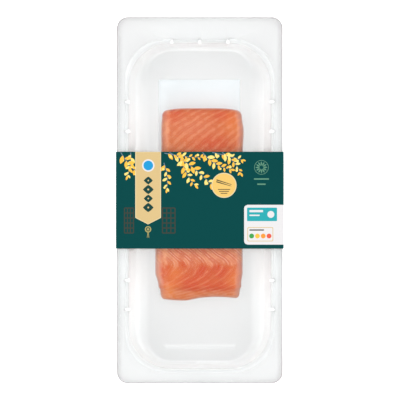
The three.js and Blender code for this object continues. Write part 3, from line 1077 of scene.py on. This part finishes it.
        # painted shade in the flange's corners
        corner = smooth(*self.corner_across, np.abs(across)) * smooth(*self.corner_along, np.abs(along))
        return tone - self.painted_corner_shade * corner * (ring.outside > self.edge_line)

    def build(self) -> list[bpy.types.Object]:
        """Makes the tray."""
        material = PolypropyleneSheet().material()
        return [self.shape().piece("thermoformed_tray", material, Slot.TRAY, "tray")]


@dataclass
class LidFilm:
    """The clear film, flat over the tray and sealed to its flange."""

    corner: float = 5.6
    edge_steps: int = 5

    def build(self) -> list[bpy.types.Object]:
        """Makes the film: a rounded rectangle whose edge is a half circle, as deep as the film.

        Returns:
            The film.
        """
        low, high = node_box("lid_film")
        thickness = high[2] - low[2]
        angle = np.linspace(math.pi / 2, -math.pi / 2, 2 * self.edge_steps + 1)
        inset = thickness / 2 * (1 - np.cos(angle))
        height = (high[2] + low[2]) / 2 + thickness / 2 * np.sin(angle)
        quarter, ends, sides = np.linspace(0, 90, 13), np.arange(-48, 49, 12.0), np.arange(-120, 121, 12.0)
        stations = Stations.spread(quarter, ends, sides)
        plan = stations.ring((high - low)[:2] / 2 - inset[:, None], self.corner - inset)
        level = np.broadcast_to(height[:, None, None], (*plan.shape[:2], 1))
        shape = Shape.loft(np.concatenate([plan, level], -1))
        return [shape.piece("sealed_film", SealingFilm().material(), Slot.FILM, "lid_film")]


# The card sleeve and its print


@dataclass
class Sleeve:
    """The printed card sleeve: one strip folded round the tray into a closed loop, glued under the tray."""

    card: float = 0.5
    ink_room: float = 0.06  # how far the card's outer face lies inside the solid's, so that the print fits
    foot_width: float = 88.0
    side_drop: float = 6.2
    fold_radius: float = 0.9
    fold_length: float = 1.62  # a fold's length along the card, in fold radii
    fold_steps: int = 8
    lap_place: float = -22.0  # the glued lap's edge, under the tray
    lap_width: float = 0.3
    lap_step: float = 0.14
    lap_folds: Pair = (0.14, 0.1)  # the radii of its folds outside and inside
    rows: int = 29

    def __post_init__(self) -> None:
        """Reads the sleeve's outer size from the frame."""
        low, high = node_box("sleeve")
        self.half_top, self.top = float(high[0]), float(high[2])
        self.start, self.end = float(low[1]), float(high[1])

    def folded(self, corners: np.ndarray, radius: np.ndarray) -> tuple[np.ndarray, np.ndarray]:
        """Rounds a loop's corners: (1-t)^2 a + 2t(1-t) c + t^2 b, from a before each corner c to b after it.

        Args:
            corners: The loop's corners, in order.
            radius: How far a and b lie from each corner.

        Returns:
            The rounded loop's points, and for each corner's how near they are to its middle, from 0 to 1.
        """
        ways = (np.roll(corners, turn, axis=0) - corners for turn in (1, -1))
        start, end = (corners + (radius / np.linalg.norm(way, axis=1))[:, None] * way for way in ways)
        t = np.linspace(0, 1, self.fold_steps + 1)[None, :, None]
        points = (1 - t) ** 2 * start[:, None] + 2 * t * (1 - t) * corners[:, None] + t ** 2 * end[:, None]
        near = np.broadcast_to(1 - np.abs(2 * t[..., 0] - 1), points.shape[:2])
        return points.reshape(-1, 2), near

    def shape(self) -> Shape:
        """The card: an outer and an inner loop, carried along the pack, and its cut edges between them.

        Returns:
            The card, with its folds and its bare faces.
        """
        half_foot, bend_height = self.foot_width / 2, self.top - self.side_drop
        slope = math.hypot(self.half_top - half_foot, bend_height)
        inner_foot = half_foot - self.card * (slope - (self.half_top - half_foot)) / bend_height
        inner_bend = bend_height + self.card * (slope - bend_height) / (self.half_top - half_foot)
        top, side = self.top - self.ink_room, self.half_top - self.ink_room / 2
        wall, lid = self.half_top - self.card, self.top - self.card
        lap_end = self.lap_place + self.lap_width
        outer = np.array([(-half_foot, 0), (self.lap_place, 0), (lap_end, self.lap_step),
                          (half_foot, self.lap_step), (side, bend_height), (side, top), (-side, top),
                          (-side, bend_height)])
        inner = np.array([(-inner_foot, self.card), (self.lap_place, self.card), (lap_end, self.card),
                          (inner_foot, self.card), (wall, inner_bend), (wall, lid), (-wall, lid),
                          (-wall, inner_bend)])
        lap = np.isin(np.arange(len(outer)), (1, 2))
        outside, inside = self.lap_folds
        outer_loop, near = self.folded(outer, np.where(lap, outside, self.fold_radius))
        inner_loop, _ = self.folded(inner, np.where(lap, inside, self.fold_radius - self.card / 2))
        along = np.linspace(self.start, self.end, self.rows)
        loops = np.repeat([outer_loop, inner_loop], self.rows, axis=0)
        rows = np.concatenate([along, along[::-1]])
        rows = np.broadcast_to(rows[:, None], loops.shape[:2])
        shape = Shape.hoop(np.stack([loops[..., 0], rows, loops[..., 1]], -1))
        bare = np.ones(rows.T.shape)
        bare[:, :self.rows - 1] = 0
        shape.values["fold"] = np.tile((near * ~lap[:, None]).ravel(), 2 * self.rows)
        shape.face_values["bare"] = bare.ravel()
        return shape

    def on_card(self, places: np.ndarray, lift: float) -> np.ndarray:
        """Puts flat places on the sleeve's upper panel, and past its edge round the fold and down the side.

        Args:
            places: Distances across, along the card from its middle, and places along the pack.
            lift: How far above the card's face the points lie.

        Returns:
            The points in space.
        """
        flat = self.half_top - self.ink_room / 2 - self.fold_radius
        over = np.abs(places[..., 0]) - flat
        length = self.fold_length * self.fold_radius
        t = np.clip(over / length, 0, 1)
        across = np.minimum(np.abs(places[..., 0]), flat) + self.fold_radius * (2 * t - t * t)
        height = self.top - self.ink_room - self.fold_radius * t * t - np.clip(over - length, 0, None)
        tilt = np.arctan2(t, 1 - t)
        across = np.sign(places[..., 0]) * (across + lift * np.sin(tilt))
        return np.stack([across, places[..., 1], height + lift * np.cos(tilt)], -1)

    def build(self) -> list[bpy.types.Object]:
        """Makes the card and everything printed on it."""
        card = self.shape().piece("card_sleeve", CoatedCarton().material(), Slot.CARD, "sleeve")
        return [card, *Print(self).build()]


@dataclass
class Printed:
    """One ink's shapes on the card, gathered into one mesh. Each shape is a thin closed slab."""

    sleeve: Sleeve
    ink: Ink
    parts: list[Shape] = field(default_factory=list)
    sunk: float = -0.03  # where its underside lies, over the card's face

    def both(self, places: np.ndarray, lift: float) -> tuple[np.ndarray, np.ndarray]:
        """The upper and the lower face of a shape that is given as places on the card."""
        return self.sleeve.on_card(places, lift), self.sleeve.on_card(places, self.sunk)

    def panel(self, grid: np.ndarray, lift: float) -> None:
        """Adds a shape given as a grid of places, whose rows step along +Y and columns along +X."""
        self.parts.append(Shape.slab(*self.both(grid, lift)))

    def outline(self, corners: np.ndarray, lift: float) -> None:
        """Adds a filled shape from its outline, anticlockwise, which its middle sees all round."""
        self.parts.append(Shape.loft(np.stack(self.both(corners, lift))))

    def ribbon(self, path: np.ndarray, half_width: np.ndarray | float, lift: float) -> None:
        """Adds a stroke, set off to both sides of a path along its normals.

        Args:
            path: The places that it goes through.
            half_width: Half its width, at each of them or all along.
            lift: How far above the card its face lies.
        """
        step = np.gradient(path, axis=0)
        step /= np.linalg.norm(step, axis=1)[:, None]
        off = np.stack([step[:, 1], -step[:, 0]], -1) * np.broadcast_to(half_width, len(path))[:, None]
        self.panel(np.stack([path - off, path + off], 1), lift)

    def line(self, start: Any, end: Any, half_width: Any, lift: float, points: int = 6) -> None:
        """Adds a straight stroke between two places."""
        self.ribbon(np.linspace(start, end, points), half_width, lift)

    def disc(self, centre: Any, radius: float, lift: float, sides: int = 40, hole: float = 0.0) -> None:
        """Adds a disc, or a ring round a hole: circles of two radii joined by faces.

        Args:
            centre: The place of its middle.
            radius: Its radius.
            lift: How far above the card its face lies.
            sides: How many sides stand for its circle.
            hole: The hole's radius, or 0 for none.
        """
        angle = np.linspace(0, 2 * np.pi, sides, endpoint=False)
        circle = np.stack([np.cos(angle), np.sin(angle)], -1)
        outer, inner = circle * radius + centre, circle * hole + centre
        if hole:
            (inner_high, inner_low), (outer_high, outer_low) = self.both(inner, lift), self.both(outer, lift)
            self.parts.append(Shape.hoop(np.stack([inner_high, outer_high, outer_low, inner_low])))
        else:
            self.outline(outer, lift)

    def build(self) -> bpy.types.Object:
        """Makes the ink's mesh."""
        material = OffsetInk(self.ink).material()
        return Shape.joined(self.parts).piece(f"print_{self.ink.name.lower()}", material, Slot.PRINT)


@dataclass(frozen=True)
class Sprig:
    """A leafy twig: where it starts, which way it sets out, how far it goes and how much it turns."""

    start: Pair  # across the pack, and down from the sleeve's upper edge
    heading: float  # degrees, anticlockwise from +X
    length: float
    turn: float  # degrees over the whole length
    leaves: int
    leaf: float  # length of its largest leaves
    seed: int

    def path(self, edge: float, steps: int = 40) -> tuple[np.ndarray, np.ndarray]:
        """The twig's line, from a heading that turns evenly with the length.

        Args:
            edge: Where the sleeve's upper edge is, along the pack.
            steps: How many points the line has.

        Returns:
            The points, and the direction at each.
        """
        angle = np.radians(self.heading + self.turn * np.linspace(0, 1, steps))
        stride = np.stack([np.cos(angle), np.sin(angle)], -1) * self.length / (steps - 1)
        start = np.array([self.start[0], edge - self.start[1]])
        return start + np.cumsum(stride, axis=0) - stride[0], angle


def towards(angle: float) -> np.ndarray:
    """The direction at an angle, in radians anticlockwise from +X."""
    return np.array([math.cos(angle), math.sin(angle)])


class Print:
    """What is printed on the sleeve's upper panel: plain fields, ornaments and sprigs, with no lettering.

    Fields and ornaments have their places as pixels of the photograph. A shape's lift is how far it stands
    above the card, in millimetres, so that what is printed later lies on top.
    """

    SPRIG_SIDE = 58.0  # how far across the pack the sprigs' leaves may reach
    SPRIGS = (
        Sprig((-57.0, 0.5), -62, 26, 30, 11, 5.4, 1),
        Sprig((-50.0, 0.5), -84, 17, -26, 8, 5.0, 2),
        Sprig((-22.0, 0.5), -28, 46, -22, 18, 5.6, 3),
        Sprig((-13.0, 4.5), -82, 22, 34, 10, 5.2, 4),
        Sprig((-26.0, 8.0), -68, 19, -30, 8, 4.8, 5),
        Sprig((2.0, 0.5), -52, 24, 40, 11, 5.2, 6),
        Sprig((16.0, 0.5), -30, 20, -34, 9, 5.0, 7),
        Sprig((-25.5, 1.0), -12, 27, 10, 12, 4.6, 8),
        Sprig((9.0, 0.5), -12, 22, -4, 9, 4.4, 9),
    )

    def __init__(self, sleeve: Sleeve) -> None:
        """Opens one gathering of shapes for each ink.

        Args:
            sleeve: The card that it is printed on.
        """
        self.sleeve = sleeve
        self.inks = {ink: Printed(sleeve, ink) for ink in Ink}
        self.laid = 0

    def next_lift(self) -> float:
        """The next of 19 levels between the twigs and the banner: no two leaves that cross are level."""
        self.laid += 1
        return 0.016 + 0.001 * (self.laid * 7 % 19)

    def leaf(self, ink: Ink, base: np.ndarray, angle: float, length: float, width: float) -> None:
        """Adds a lens-shaped leaf: half its width times sin(pi t)^0.8, along a line that bows a little.

        Args:
            ink: Its ink.
            base: The place of its foot.
            angle: The direction in which it points, in radians.
            length: Its length.
            width: Its width in the middle.
        """
        t = np.linspace(0, 1, 12)
        bow = 0.12 * length * (t * (1 - t))[:, None] * towards(angle + math.pi / 2)
        path = base + length * t[:, None] * towards(angle) + bow
        self.inks[ink].ribbon(path, 0.03 + width / 2 * np.sin(np.pi * t) ** 0.8, self.next_lift())

    def sprig(self, sprig: Sprig) -> None:
        """Adds a twig with leaves to both sides, in two yellows, and buds between them.

        Args:
            sprig: What it is like.
        """
        draw = np.random.default_rng(sprig.seed)
        path, angle = sprig.path(self.sleeve.end)
        share = np.linspace(0, 1, len(path))
        self.inks[Ink.TWIG].ribbon(path, 0.34 - 0.2 * share, 0.012 + 0.0004 * sprig.seed)
        for number in range(sprig.leaves):
            at = 0.12 + 0.86 * number / (sprig.leaves - 1)
            spot = int(at * (len(path) - 1))
            side = 1 if number % 2 else -1
            lean = angle[spot] + side * math.radians(draw.uniform(32, 62))
            size = sprig.leaf * (1.05 - 0.45 * at) * draw.uniform(0.85, 1.15)
            ink = Ink.YELLOW if draw.uniform() < 0.6 else Ink.LIGHT_YELLOW
            tip = path[spot] + size * towards(lean)
            if abs(tip[1]) < self.sleeve.end - 0.4 and abs(tip[0]) < self.SPRIG_SIDE:
                self.leaf(ink, path[spot], lean, size, size * 0.46)
            if number % 3 == 1:
                bud = path[spot] - side * 1.7 * towards(angle[spot] + math.pi / 2)
                if abs(bud[1]) < self.sleeve.end - 1.2:
                    self.inks[Ink.LIGHT_YELLOW].disc(bud, draw.uniform(0.75, 1.15), self.next_lift(), 18)
        self.leaf(Ink.YELLOW, path[-1], angle[-1], sprig.leaf * 0.7, sprig.leaf * 0.3)

    def banner(self) -> None:
        """Adds the gold banner with its point, a row of plain ornaments, and a ring with a tassel."""
        (left, _), (right, shoulder) = from_photo(135.3, 152), from_photo(161, 217.8)
        middle, point = from_photo(148.1, 224.4)
        upper = self.sleeve.end - 0.02
        outline = np.array([(right, shoulder), (right, upper), (left, upper), (left, shoulder),
                            (middle, point)])
        inner = np.array([middle, (shoulder + upper) / 2])
        self.inks[Ink.PALE_GOLD].outline(outline, 0.038)
        self.inks[Ink.GOLD].outline(inner + (outline - inner) * (0.94, 0.985), 0.042)
        disc = from_photo(148.3, 165.5)
        self.inks[Ink.WHITE].disc(disc, 4.5, 0.046)
        self.inks[Ink.BLUE].disc(disc, 3.5, 0.05)
        for pixel_y, half in ((180.5, 2.8), (189.5, 3.3), (198.5, 2.8), (207.5, 3.3)):
            self.lozenge(from_photo(148.3, pixel_y), half)
        ring = np.array(from_photo(148.1, 229.3))
        tassel = self.inks[Ink.DULL_GOLD]
        tassel.disc(ring, 2.3, 0.03, hole=1.5)
        tassel.disc(ring, 0.9, 0.03, 20)
        for spread in (-0.7, 0.0, 0.7):
            tassel.line(ring + (spread * 0.3, -2.2), ring + (spread, -6.0), 0.14, 0.031 + 0.002 * spread)

    def lozenge(self, centre: Pair, half: float) -> None:
        """Adds a dark green ornament: a dot in a lozenge, which is a circle with its sines raised to 1.7.

        Args:
            centre: The place of its middle.
            half: Half its height.
        """
        angle = np.linspace(0, 2 * np.pi, 48, endpoint=False)
        circle = np.stack([np.cos(angle), np.sin(angle)], -1)
        outline = np.array(centre) + half * np.sign(circle) * np.abs(circle) ** 1.7 * (1.15, 1.0)
        self.inks[Ink.DARK_GREEN].outline(outline, 0.046)
        self.inks[Ink.GOLD].disc(centre, half * 0.2, 0.05, 16)

    def badge(self) -> None:
        """Adds the round badge: a pale rim, two tapered bars and three plain lines."""
        centre = np.array(from_photo(224.0, 185.3))
        self.inks[Ink.PALE_GOLD].disc(centre, 9.05, 0.044, 72)
        self.inks[Ink.BADGE].disc(centre, 8.45, 0.048, 72)
        for start, end in (((-5.6, 2.6), (5.2, -0.6)), ((-5.4, 3.9), (5.5, 0.5))):
            self.inks[Ink.BROWN].line(centre + start, centre + end, np.linspace(0.42, 0.16, 8), 0.052, 8)
        for half, down in ((4.4, -3.0), (3.6, -4.4), (2.4, -5.8)):
            self.inks[Ink.BROWN].line(centre + (-half, down), centre + (half, down), 0.26, 0.052)

    def emblem(self) -> None:
        """Adds a plain rosette of twelve petals in a ring, with two plain lines under it."""
        centre = np.array(from_photo(261.4, 167.4))
        self.inks[Ink.SAGE].disc(centre, 5.2, 0.03, 56, hole=4.85)
        for angle in np.linspace(0, 2 * np.pi, 12, endpoint=False):
            self.leaf(Ink.SAGE, centre + 1.2 * towards(angle), angle, 3.1, 0.95)
        for width, pixel_y in ((5.4, 179.0), (3.0, 184.2)):
            middle = np.array(from_photo(261.4, pixel_y))
            self.inks[Ink.SAGE].line(middle - (width, 0), middle + (width, 0), 0.5, 0.03)

    def label(self) -> None:
        """Adds the white label that runs over the right-hand fold, with a teal field and four dots on it."""
        left, upper = from_photo(244.1, 204.8)
        _, lower = from_photo(244.1, 244.6)
        radius, rows = 2.5, 41
        along = np.linspace(lower, upper, rows)
        inward = np.clip(radius - np.minimum(along - lower, upper - along), 0, None)
        start = left + radius - np.sqrt(np.clip(radius ** 2 - inward ** 2, 0, None))
        flat = self.sleeve.half_top - self.sleeve.fold_radius
        beyond = np.concatenate([np.linspace(left + radius, flat - 0.2, 12),
                                 flat + np.linspace(-0.1, 1.6, 14), flat + np.linspace(2.2, 5.4, 5)])
        near = start[:, None] + np.linspace(0, 1, 7)[None, :-1] * (left + radius - start[:, None])
        across = np.concatenate([near, np.broadcast_to(beyond, (rows, len(beyond)))], 1)
        grid = np.stack([across, np.broadcast_to(along[:, None], across.shape)], -1)
        self.inks[Ink.WHITE].panel(grid, 0.03)
        for ink, upper_left, lower_right, corner, lift in (
            (Ink.TEAL, (247.0, 207.6), (277.0, 221.1), 0.6, 0.036),
            (Ink.WHITE, (249.4, 210.0), (263.0, 212.2), 0.3, 0.042),
            (Ink.WHITE, (249.4, 214.6), (259.6, 216.0), 0.3, 0.042),
            (Ink.GOLD, (247.3, 227.1), (273.2, 241.4), 1.0, 0.036),
            (Ink.WHITE, (248.0, 227.8), (272.5, 240.7), 0.9, 0.042),
            (Ink.BROWN, (249.4, 229.4), (264.0, 230.6), 0.2, 0.048),
        ):
            self.field(ink, upper_left, lower_right, corner, lift)
        self.inks[Ink.WHITE].disc(from_photo(270.8, 214.4), 2.5, 0.042, 36)
        for ink, pixel_x in ((Ink.LEAF_GREEN, 251.6), (Ink.YELLOW, 257.4), (Ink.ORANGE, 263.2),
                             (Ink.CORAL, 269.0)):
            self.inks[ink].disc(from_photo(pixel_x, 236.0), 1.75, 0.048, 28)

    def field(self, ink: Ink, upper_left: Pair, lower_right: Pair,
              corner: float, lift: float) -> None:
        """Adds a field with rounded corners.

        Args:
            ink: Its ink.
            upper_left: The photograph's pixel at its upper left corner.
            lower_right: The photograph's pixel at its lower right corner.
            corner: Its corner radius.
            lift: How far above the card its face lies.
        """
        start, end = np.array(from_photo(*upper_left)), np.array(from_photo(*lower_right))
        half = np.abs(end - start)[None] / 2
        stations = Stations.spread(np.linspace(0, 90, 7), np.empty(0), np.empty(0))
        outline = stations.ring(half, np.array([min(corner, half.min() - 0.05)]))[0]
        self.inks[ink].outline(outline + (start + end) / 2, lift)

    def lattice(self) -> None:
        """Adds two faint square figures beside the banner, each of crossing bars, in a dark brown."""
        bars = self.inks[Ink.BROWN]
        for left, right in ((124.5, 133.5), (162.5, 175.0)):
            (start, upper), (end, lower) = from_photo(left, 208.0), from_photo(right, 233.0)
            for x in np.linspace(start, end, 4):
                bars.line((x, lower), (x, upper), 0.45, 0.024, 8)
            for y in np.linspace(lower, upper, 6):
                bars.line((start, y), (end, y), 0.45, 0.02, 8)

    def build(self) -> list[bpy.types.Object]:
        """Draws everything and makes one mesh for each ink.

        Returns:
            The inks' pieces.
        """
        self.lattice()
        for sprig in self.SPRIGS:
            self.sprig(sprig)
        self.banner()
        self.badge()
        self.emblem()
        self.label()
        return [printed.build() for printed in self.inks.values()]


# The contents


@dataclass
class AbsorbentPad:
    """The absorbent pad on the tray's floor: a core that swells softly from thin edges, faintly embossed."""

    edge_thickness: float = 0.12
    swell: float = 9.0  # mm from the edge to where it is full
    dot_pitch: float = 6.0
    dot_depth: float = 0.05
    glow_band: Pair = (3.2, 3.4)  # mm from the left edge to a band of extra painted glow, and its reach
    band_end: Pair = (-15.0, -25.0)  # mm across the pack, where the band sets in
    right_glow: float = 0.8  # how much more glow is painted towards the pad's right edge
    short: Pair = (1.8, 0.8)  # mm that its left edge and upper end stay short of the solid's
    step: float = 0.8

    def build(self) -> list[bpy.types.Object]:
        """Makes the pad: a grid over a flat one, which rises from its edges and dips where cosines meet.

        Returns:
            The pad.
        """
        low, high = node_box("absorbent_pad")
        low, high = low + (self.short[0], 0, 0), high - (0, self.short[1], 0)
        size, middle = high - low, (low + high) / 2
        x, y = np.meshgrid(*(np.linspace(low[k], high[k], int(size[k] / self.step)) for k in (0, 1)))
        inside = np.minimum(size[0] / 2 - np.abs(x - middle[0]), size[1] / 2 - np.abs(y - middle[1]))
        dots = np.cos(2 * np.pi * x / self.dot_pitch) * np.cos(2 * np.pi * y / self.dot_pitch)
        core = smooth(0, self.swell, inside)
        height = self.edge_thickness + (size[2] - self.edge_thickness) * core
        height = height - self.dot_depth * core * smooth(0.35, 0.95, dots)
        top = np.stack([x, y, low[2] + height], -1)
        bottom = np.stack([x, y, np.full_like(x, low[2])], -1)
        # painted glow: more in a band near the left edge and towards the right edge
        band = bell(inside, *self.glow_band) * smooth(*self.band_end, x)
        shape = Shape.slab(top, bottom)
        shape.values["painted_glow_share"] = np.tile((band + self.right_glow * smooth(low[0], high[0], x)).ravel(), 2)
        material = CelluloseNonwoven().material()
        return [shape.piece("absorbent_pad_quilted", material, Slot.PAD, "absorbent_pad")]


@dataclass(frozen=True)
class Patch:
    """A soft patch on the flesh: a bell round a pixel of the photograph."""

    value: str  # the value that it adds to
    pixel: Pair
    width: float  # how far it reaches across the pack
    depth: float  # how far it reaches along the pack
    strength: float


@dataclass
class Fillet:
    """The salmon: a block cut across a skinned side, with rounded upper edges and a thin end.

    A step is given by its height and by where along the pack it starts and ends.
    """

    length: float = 138.0
    middle: float = -2.7
    height: float = 22.0
    edge: float = 4.2
    corner: float = 3.2
    half: float = 29.2  # half its width, before its uneven cut edges
    width_steps: Steps = ((1.9, 15, -20), (-1.6, -52, -62), (-1.0, -63, -65.5), (-0.6, -64, -72),
                          (-0.45, 15, 45), (-0.5, 52, 66))
    bulge: tuple[float, float, float] = (0.6, 49, 11)  # its height, place and reach
    line: float = 1.9  # where its middle line lies, across the pack, before its steps
    line_steps: Steps = ((-2.5, 15, -25), (0.8, -52, -66), (-0.45, 15, 45))
    line_bulge: float = 0.5
    crown: float = 1.6  # how much lower the upper face is at its long edges
    height_steps: Steps = ((-5.0, -38, -66), (-5.5, -61.5, -71), (-2.0, 30, 68))
    sway: tuple[float, float, float] = (0.5, 9, 17)  # the face's slow wave: height, paces across and along
    upper_bow: float = 2.2  # how far the upper end's corners lie short of its middle
    waist: float = 0.7  # how far the sides draw in between the face and the underside
    flake_spacing: float = 8.3
    flake_relief: float = 0.14
    coarse_relief: tuple[float, float, int] = (0.12, 6, 11)  # height, length and seed of a ripple
    fine_relief: tuple[float, float, int] = (0.05, 2.2, 12)
    slope: float = 3.03  # the seams' slope in the middle, across over along
    bends: Steps = (
        (57, 0.9, 6), (12, 2.55, 3), (-46, -2.0, 2.5), (-55, -1.2, 5), (-63, -2.2, 3))  # place, change, reach
    patches: tuple[Patch, ...] = (
        Patch("flush", (214, 143), 15, 8, 0.8), Patch("flush", (172, 116), 9, 5, 1.0),
        Patch("flush", (225, 117), 11, 5, 0.8), Patch("flush", (184, 257), 8, 4, 0.35),
        Patch("pallor", (190, 127), 16, 9, 0.6), Patch("gold", (174, 275), 6, 9, 0.55),
        Patch("gold", (234, 278), 5, 9, 0.55), Patch("gold", (168, 290), 6, 5, 0.8),
        Patch("gold", (233, 122), 6, 8, 0.5))
    columns: int = 200
    rows: int = 400

    def half_width(self, y: np.ndarray) -> np.ndarray:
        """Half the width at a place along the fillet, from its uneven cut edges."""
        height, place, reach = self.bulge
        return self.half + stepped(self.width_steps, y) + height * bell(y, place, reach)

    def middle_x(self, y: np.ndarray) -> np.ndarray:
        """Where the fillet's middle line lies, across the pack."""
        return self.line + stepped(self.line_steps, y) + self.line_bulge * bell(y, *self.bulge[1:])

    def upper(self, x: np.ndarray, y: np.ndarray) -> np.ndarray:
        """Height of the upper face over the underside: full in the middle, slanting at the thin lower end.

        Args:
            x: Places across the pack.
            y: Places along the pack.

        Returns:
            The height at each.
        """
        sway, across, along = self.sway
        crowned = self.height + stepped(self.height_steps, y) - self.crown * (x / 30) ** 2
        return crowned + sway * np.sin(x / across + y / along)

    def phase(self, x: np.ndarray, y: np.ndarray) -> np.ndarray:
        """A count of flakes across the fillet, whole at each seam: x less a zigzag of hyperbolas in y."""
        bends = sum(change / 2 * np.hypot(y - at, width) for at, change, width in self.bends)
        return (x - self.slope * y - bends) / self.flake_spacing

    def shape(self) -> Shape:
        """A sheet draped over the block, closed by a flat underside.

        u and v run from -1 to 1. Rings of equal max(|u|, |v|) go from the middle of the upper face out over
        the rounded edge, a quarter circle, and down the sides to the underside.

        Returns:
            The surface, with its phase and its colouring.
        """
        u, v = np.meshgrid(np.linspace(-1, 1, self.columns + 1), np.linspace(-1, 1, self.rows + 1))
        edge_start, wall_start, nominal = 0.84, 0.93, 30.0
        ring = np.maximum(np.maximum(np.abs(u), np.abs(v)), 1e-6)
        inward = np.minimum(ring / edge_start, 1)
        turn = np.clip((ring - edge_start) / (wall_start - edge_start), 0, 1) * np.pi / 2
        down = np.clip((ring - wall_start) / (1 - wall_start), 0, 1)
        inset = self.edge * (1 - np.sin(turn)) - self.waist * np.sin(down * np.pi)
        half_x, half_y = 1 - inset / nominal, self.length / 2 - inset
        corner_x, corner_y = self.corner / nominal, self.corner
        box_x, box_y = u / ring * half_x, v / ring * half_y
        core_x = np.clip(box_x, corner_x - half_x, half_x - corner_x)
        core_y = np.clip(box_y, corner_y - half_y, half_y - corner_y)
        reach = np.hypot((box_x - core_x) / corner_x, (box_y - core_y) / corner_y)
        pull = np.where(reach > 1e-9, 1 / np.maximum(reach, 1e-9), 0)
        share = (core_x + (box_x - core_x) * pull) * inward
        y = self.middle + (core_y + (box_y - core_y) * pull) * inward
        x = self.middle_x(y) + share * self.half_width(y)
        lower_edge = 0.8 * np.sin(x / 8) + 1.1 * smooth(-11, 0, x)
        y = y + lower_edge * smooth(-55, -72, y) - self.upper_bow * share ** 4 * smooth(45, 67, y)
        phase = self.phase(x, y)
        relief = -self.flake_relief * (0.5 + 0.5 * np.cos(2 * np.pi * phase))
        for height, length, seed in (self.coarse_relief, self.fine_relief):
            relief = relief + height * ripple(x, y, length, seed)
        relief = relief * (1 - down) * (0.35 + 0.65 * np.cos(turn))
        low = node_box("salmon_fillet")[0][2]
        z = low + (self.upper(x, y) - self.edge * (1 - np.cos(turn)) + relief) * (1 - down)
        shape = Shape.draped(np.stack([x, y, z], -1), (0, self.middle, low))
        values = {"phase": phase, **self.colouring(x, y, share)}
        shape.values = {name: np.append(value.ravel(), 0) for name, value in values.items()}
        return shape

    def colouring(self, x: np.ndarray, y: np.ndarray, share: np.ndarray) -> dict[str, np.ndarray]:
        """Where the flesh is deep orange, dull, golden or threaded with fat, where its edges are, and where a
        highlight is painted along them.

        Args:
            x: Places across the pack.
            y: Places along the pack.
            share: Places across the fillet, from -1 to 1.

        Returns:
            Values between 0 and 1 by name.
        """
        uneven = y + 1.8 * ripple(x, y, 11, 21)
        pale_band = smooth(-24, -34, y) * smooth(-49, -42, uneven)
        # painted highlight: a pale line along the upper left edge, and a fainter one along the right
        from_line = share + 0.87 - 0.07 * smooth(10, -30, y) + 0.012 * ripple(x, y, 7, 31)
        line = bell(from_line, 0, 0.045) + 0.3 * bell(from_line, 0.02, 0.1)
        strength = 1.0 + stepped(((-0.8, -38, -50), (-0.5, 15, 55)), y)
        cut_face = (0.4 + 0.6 * smooth(10, -30, y)) * (1 - 0.6 * smooth(-58, -64, y))
        deep_band = smooth(-43, -50, uneven) * smooth(-67, -64, y)
        spread = {
            "flush": deep_band + stepped(((0.4, 58, 66), (0.3, -64, -66)), y),
            "pallor": pale_band + 0.15 * smooth(-66.5, -70, y),
            "wisp": pale_band + 0.6 * smooth(-64, -67, y),
            # painted light: gold at the thin end lifts the slanted end's shade
            "gold": 0.35 * smooth(-65, -68, y),
            "rim": line * strength + 0.4 * bell(share, 0.88, 0.04),
            "left": smooth(-0.83, -0.95, share) * cut_face,
            "right": 0.8 * smooth(0.84, 0.95, share),
        }
        for patch in self.patches:
            at_x, at_y = from_photo(*patch.pixel)
            spot = bell(x, at_x, patch.width) * bell(y, at_y, patch.depth)
            spread[patch.value] = spread[patch.value] + patch.strength * spot
        return {name: np.clip(value, 0, 1) for name, value in spread.items()}

    def build(self) -> list[bpy.types.Object]:
        """Makes the fillet."""
        return [self.shape().piece("salmon_portion", RawSalmon().material(), Slot.SALMON, "salmon_fillet")]


def main() -> None:
    """Builds the studio and every part of the pack, and reports each piece."""
    logging.basicConfig(level=logging.INFO, format="%(name)s: %(message)s")
    Studio().build()
    for part in (Tray(), AbsorbentPad(), Fillet(), LidFilm(), Sleeve()):
        for piece in part.build():
            mesh = piece.data
            log.info("%s: %d points, %d faces", piece.name, len(mesh.vertices), len(mesh.polygons))


if __name__ == "__main__":
    main()
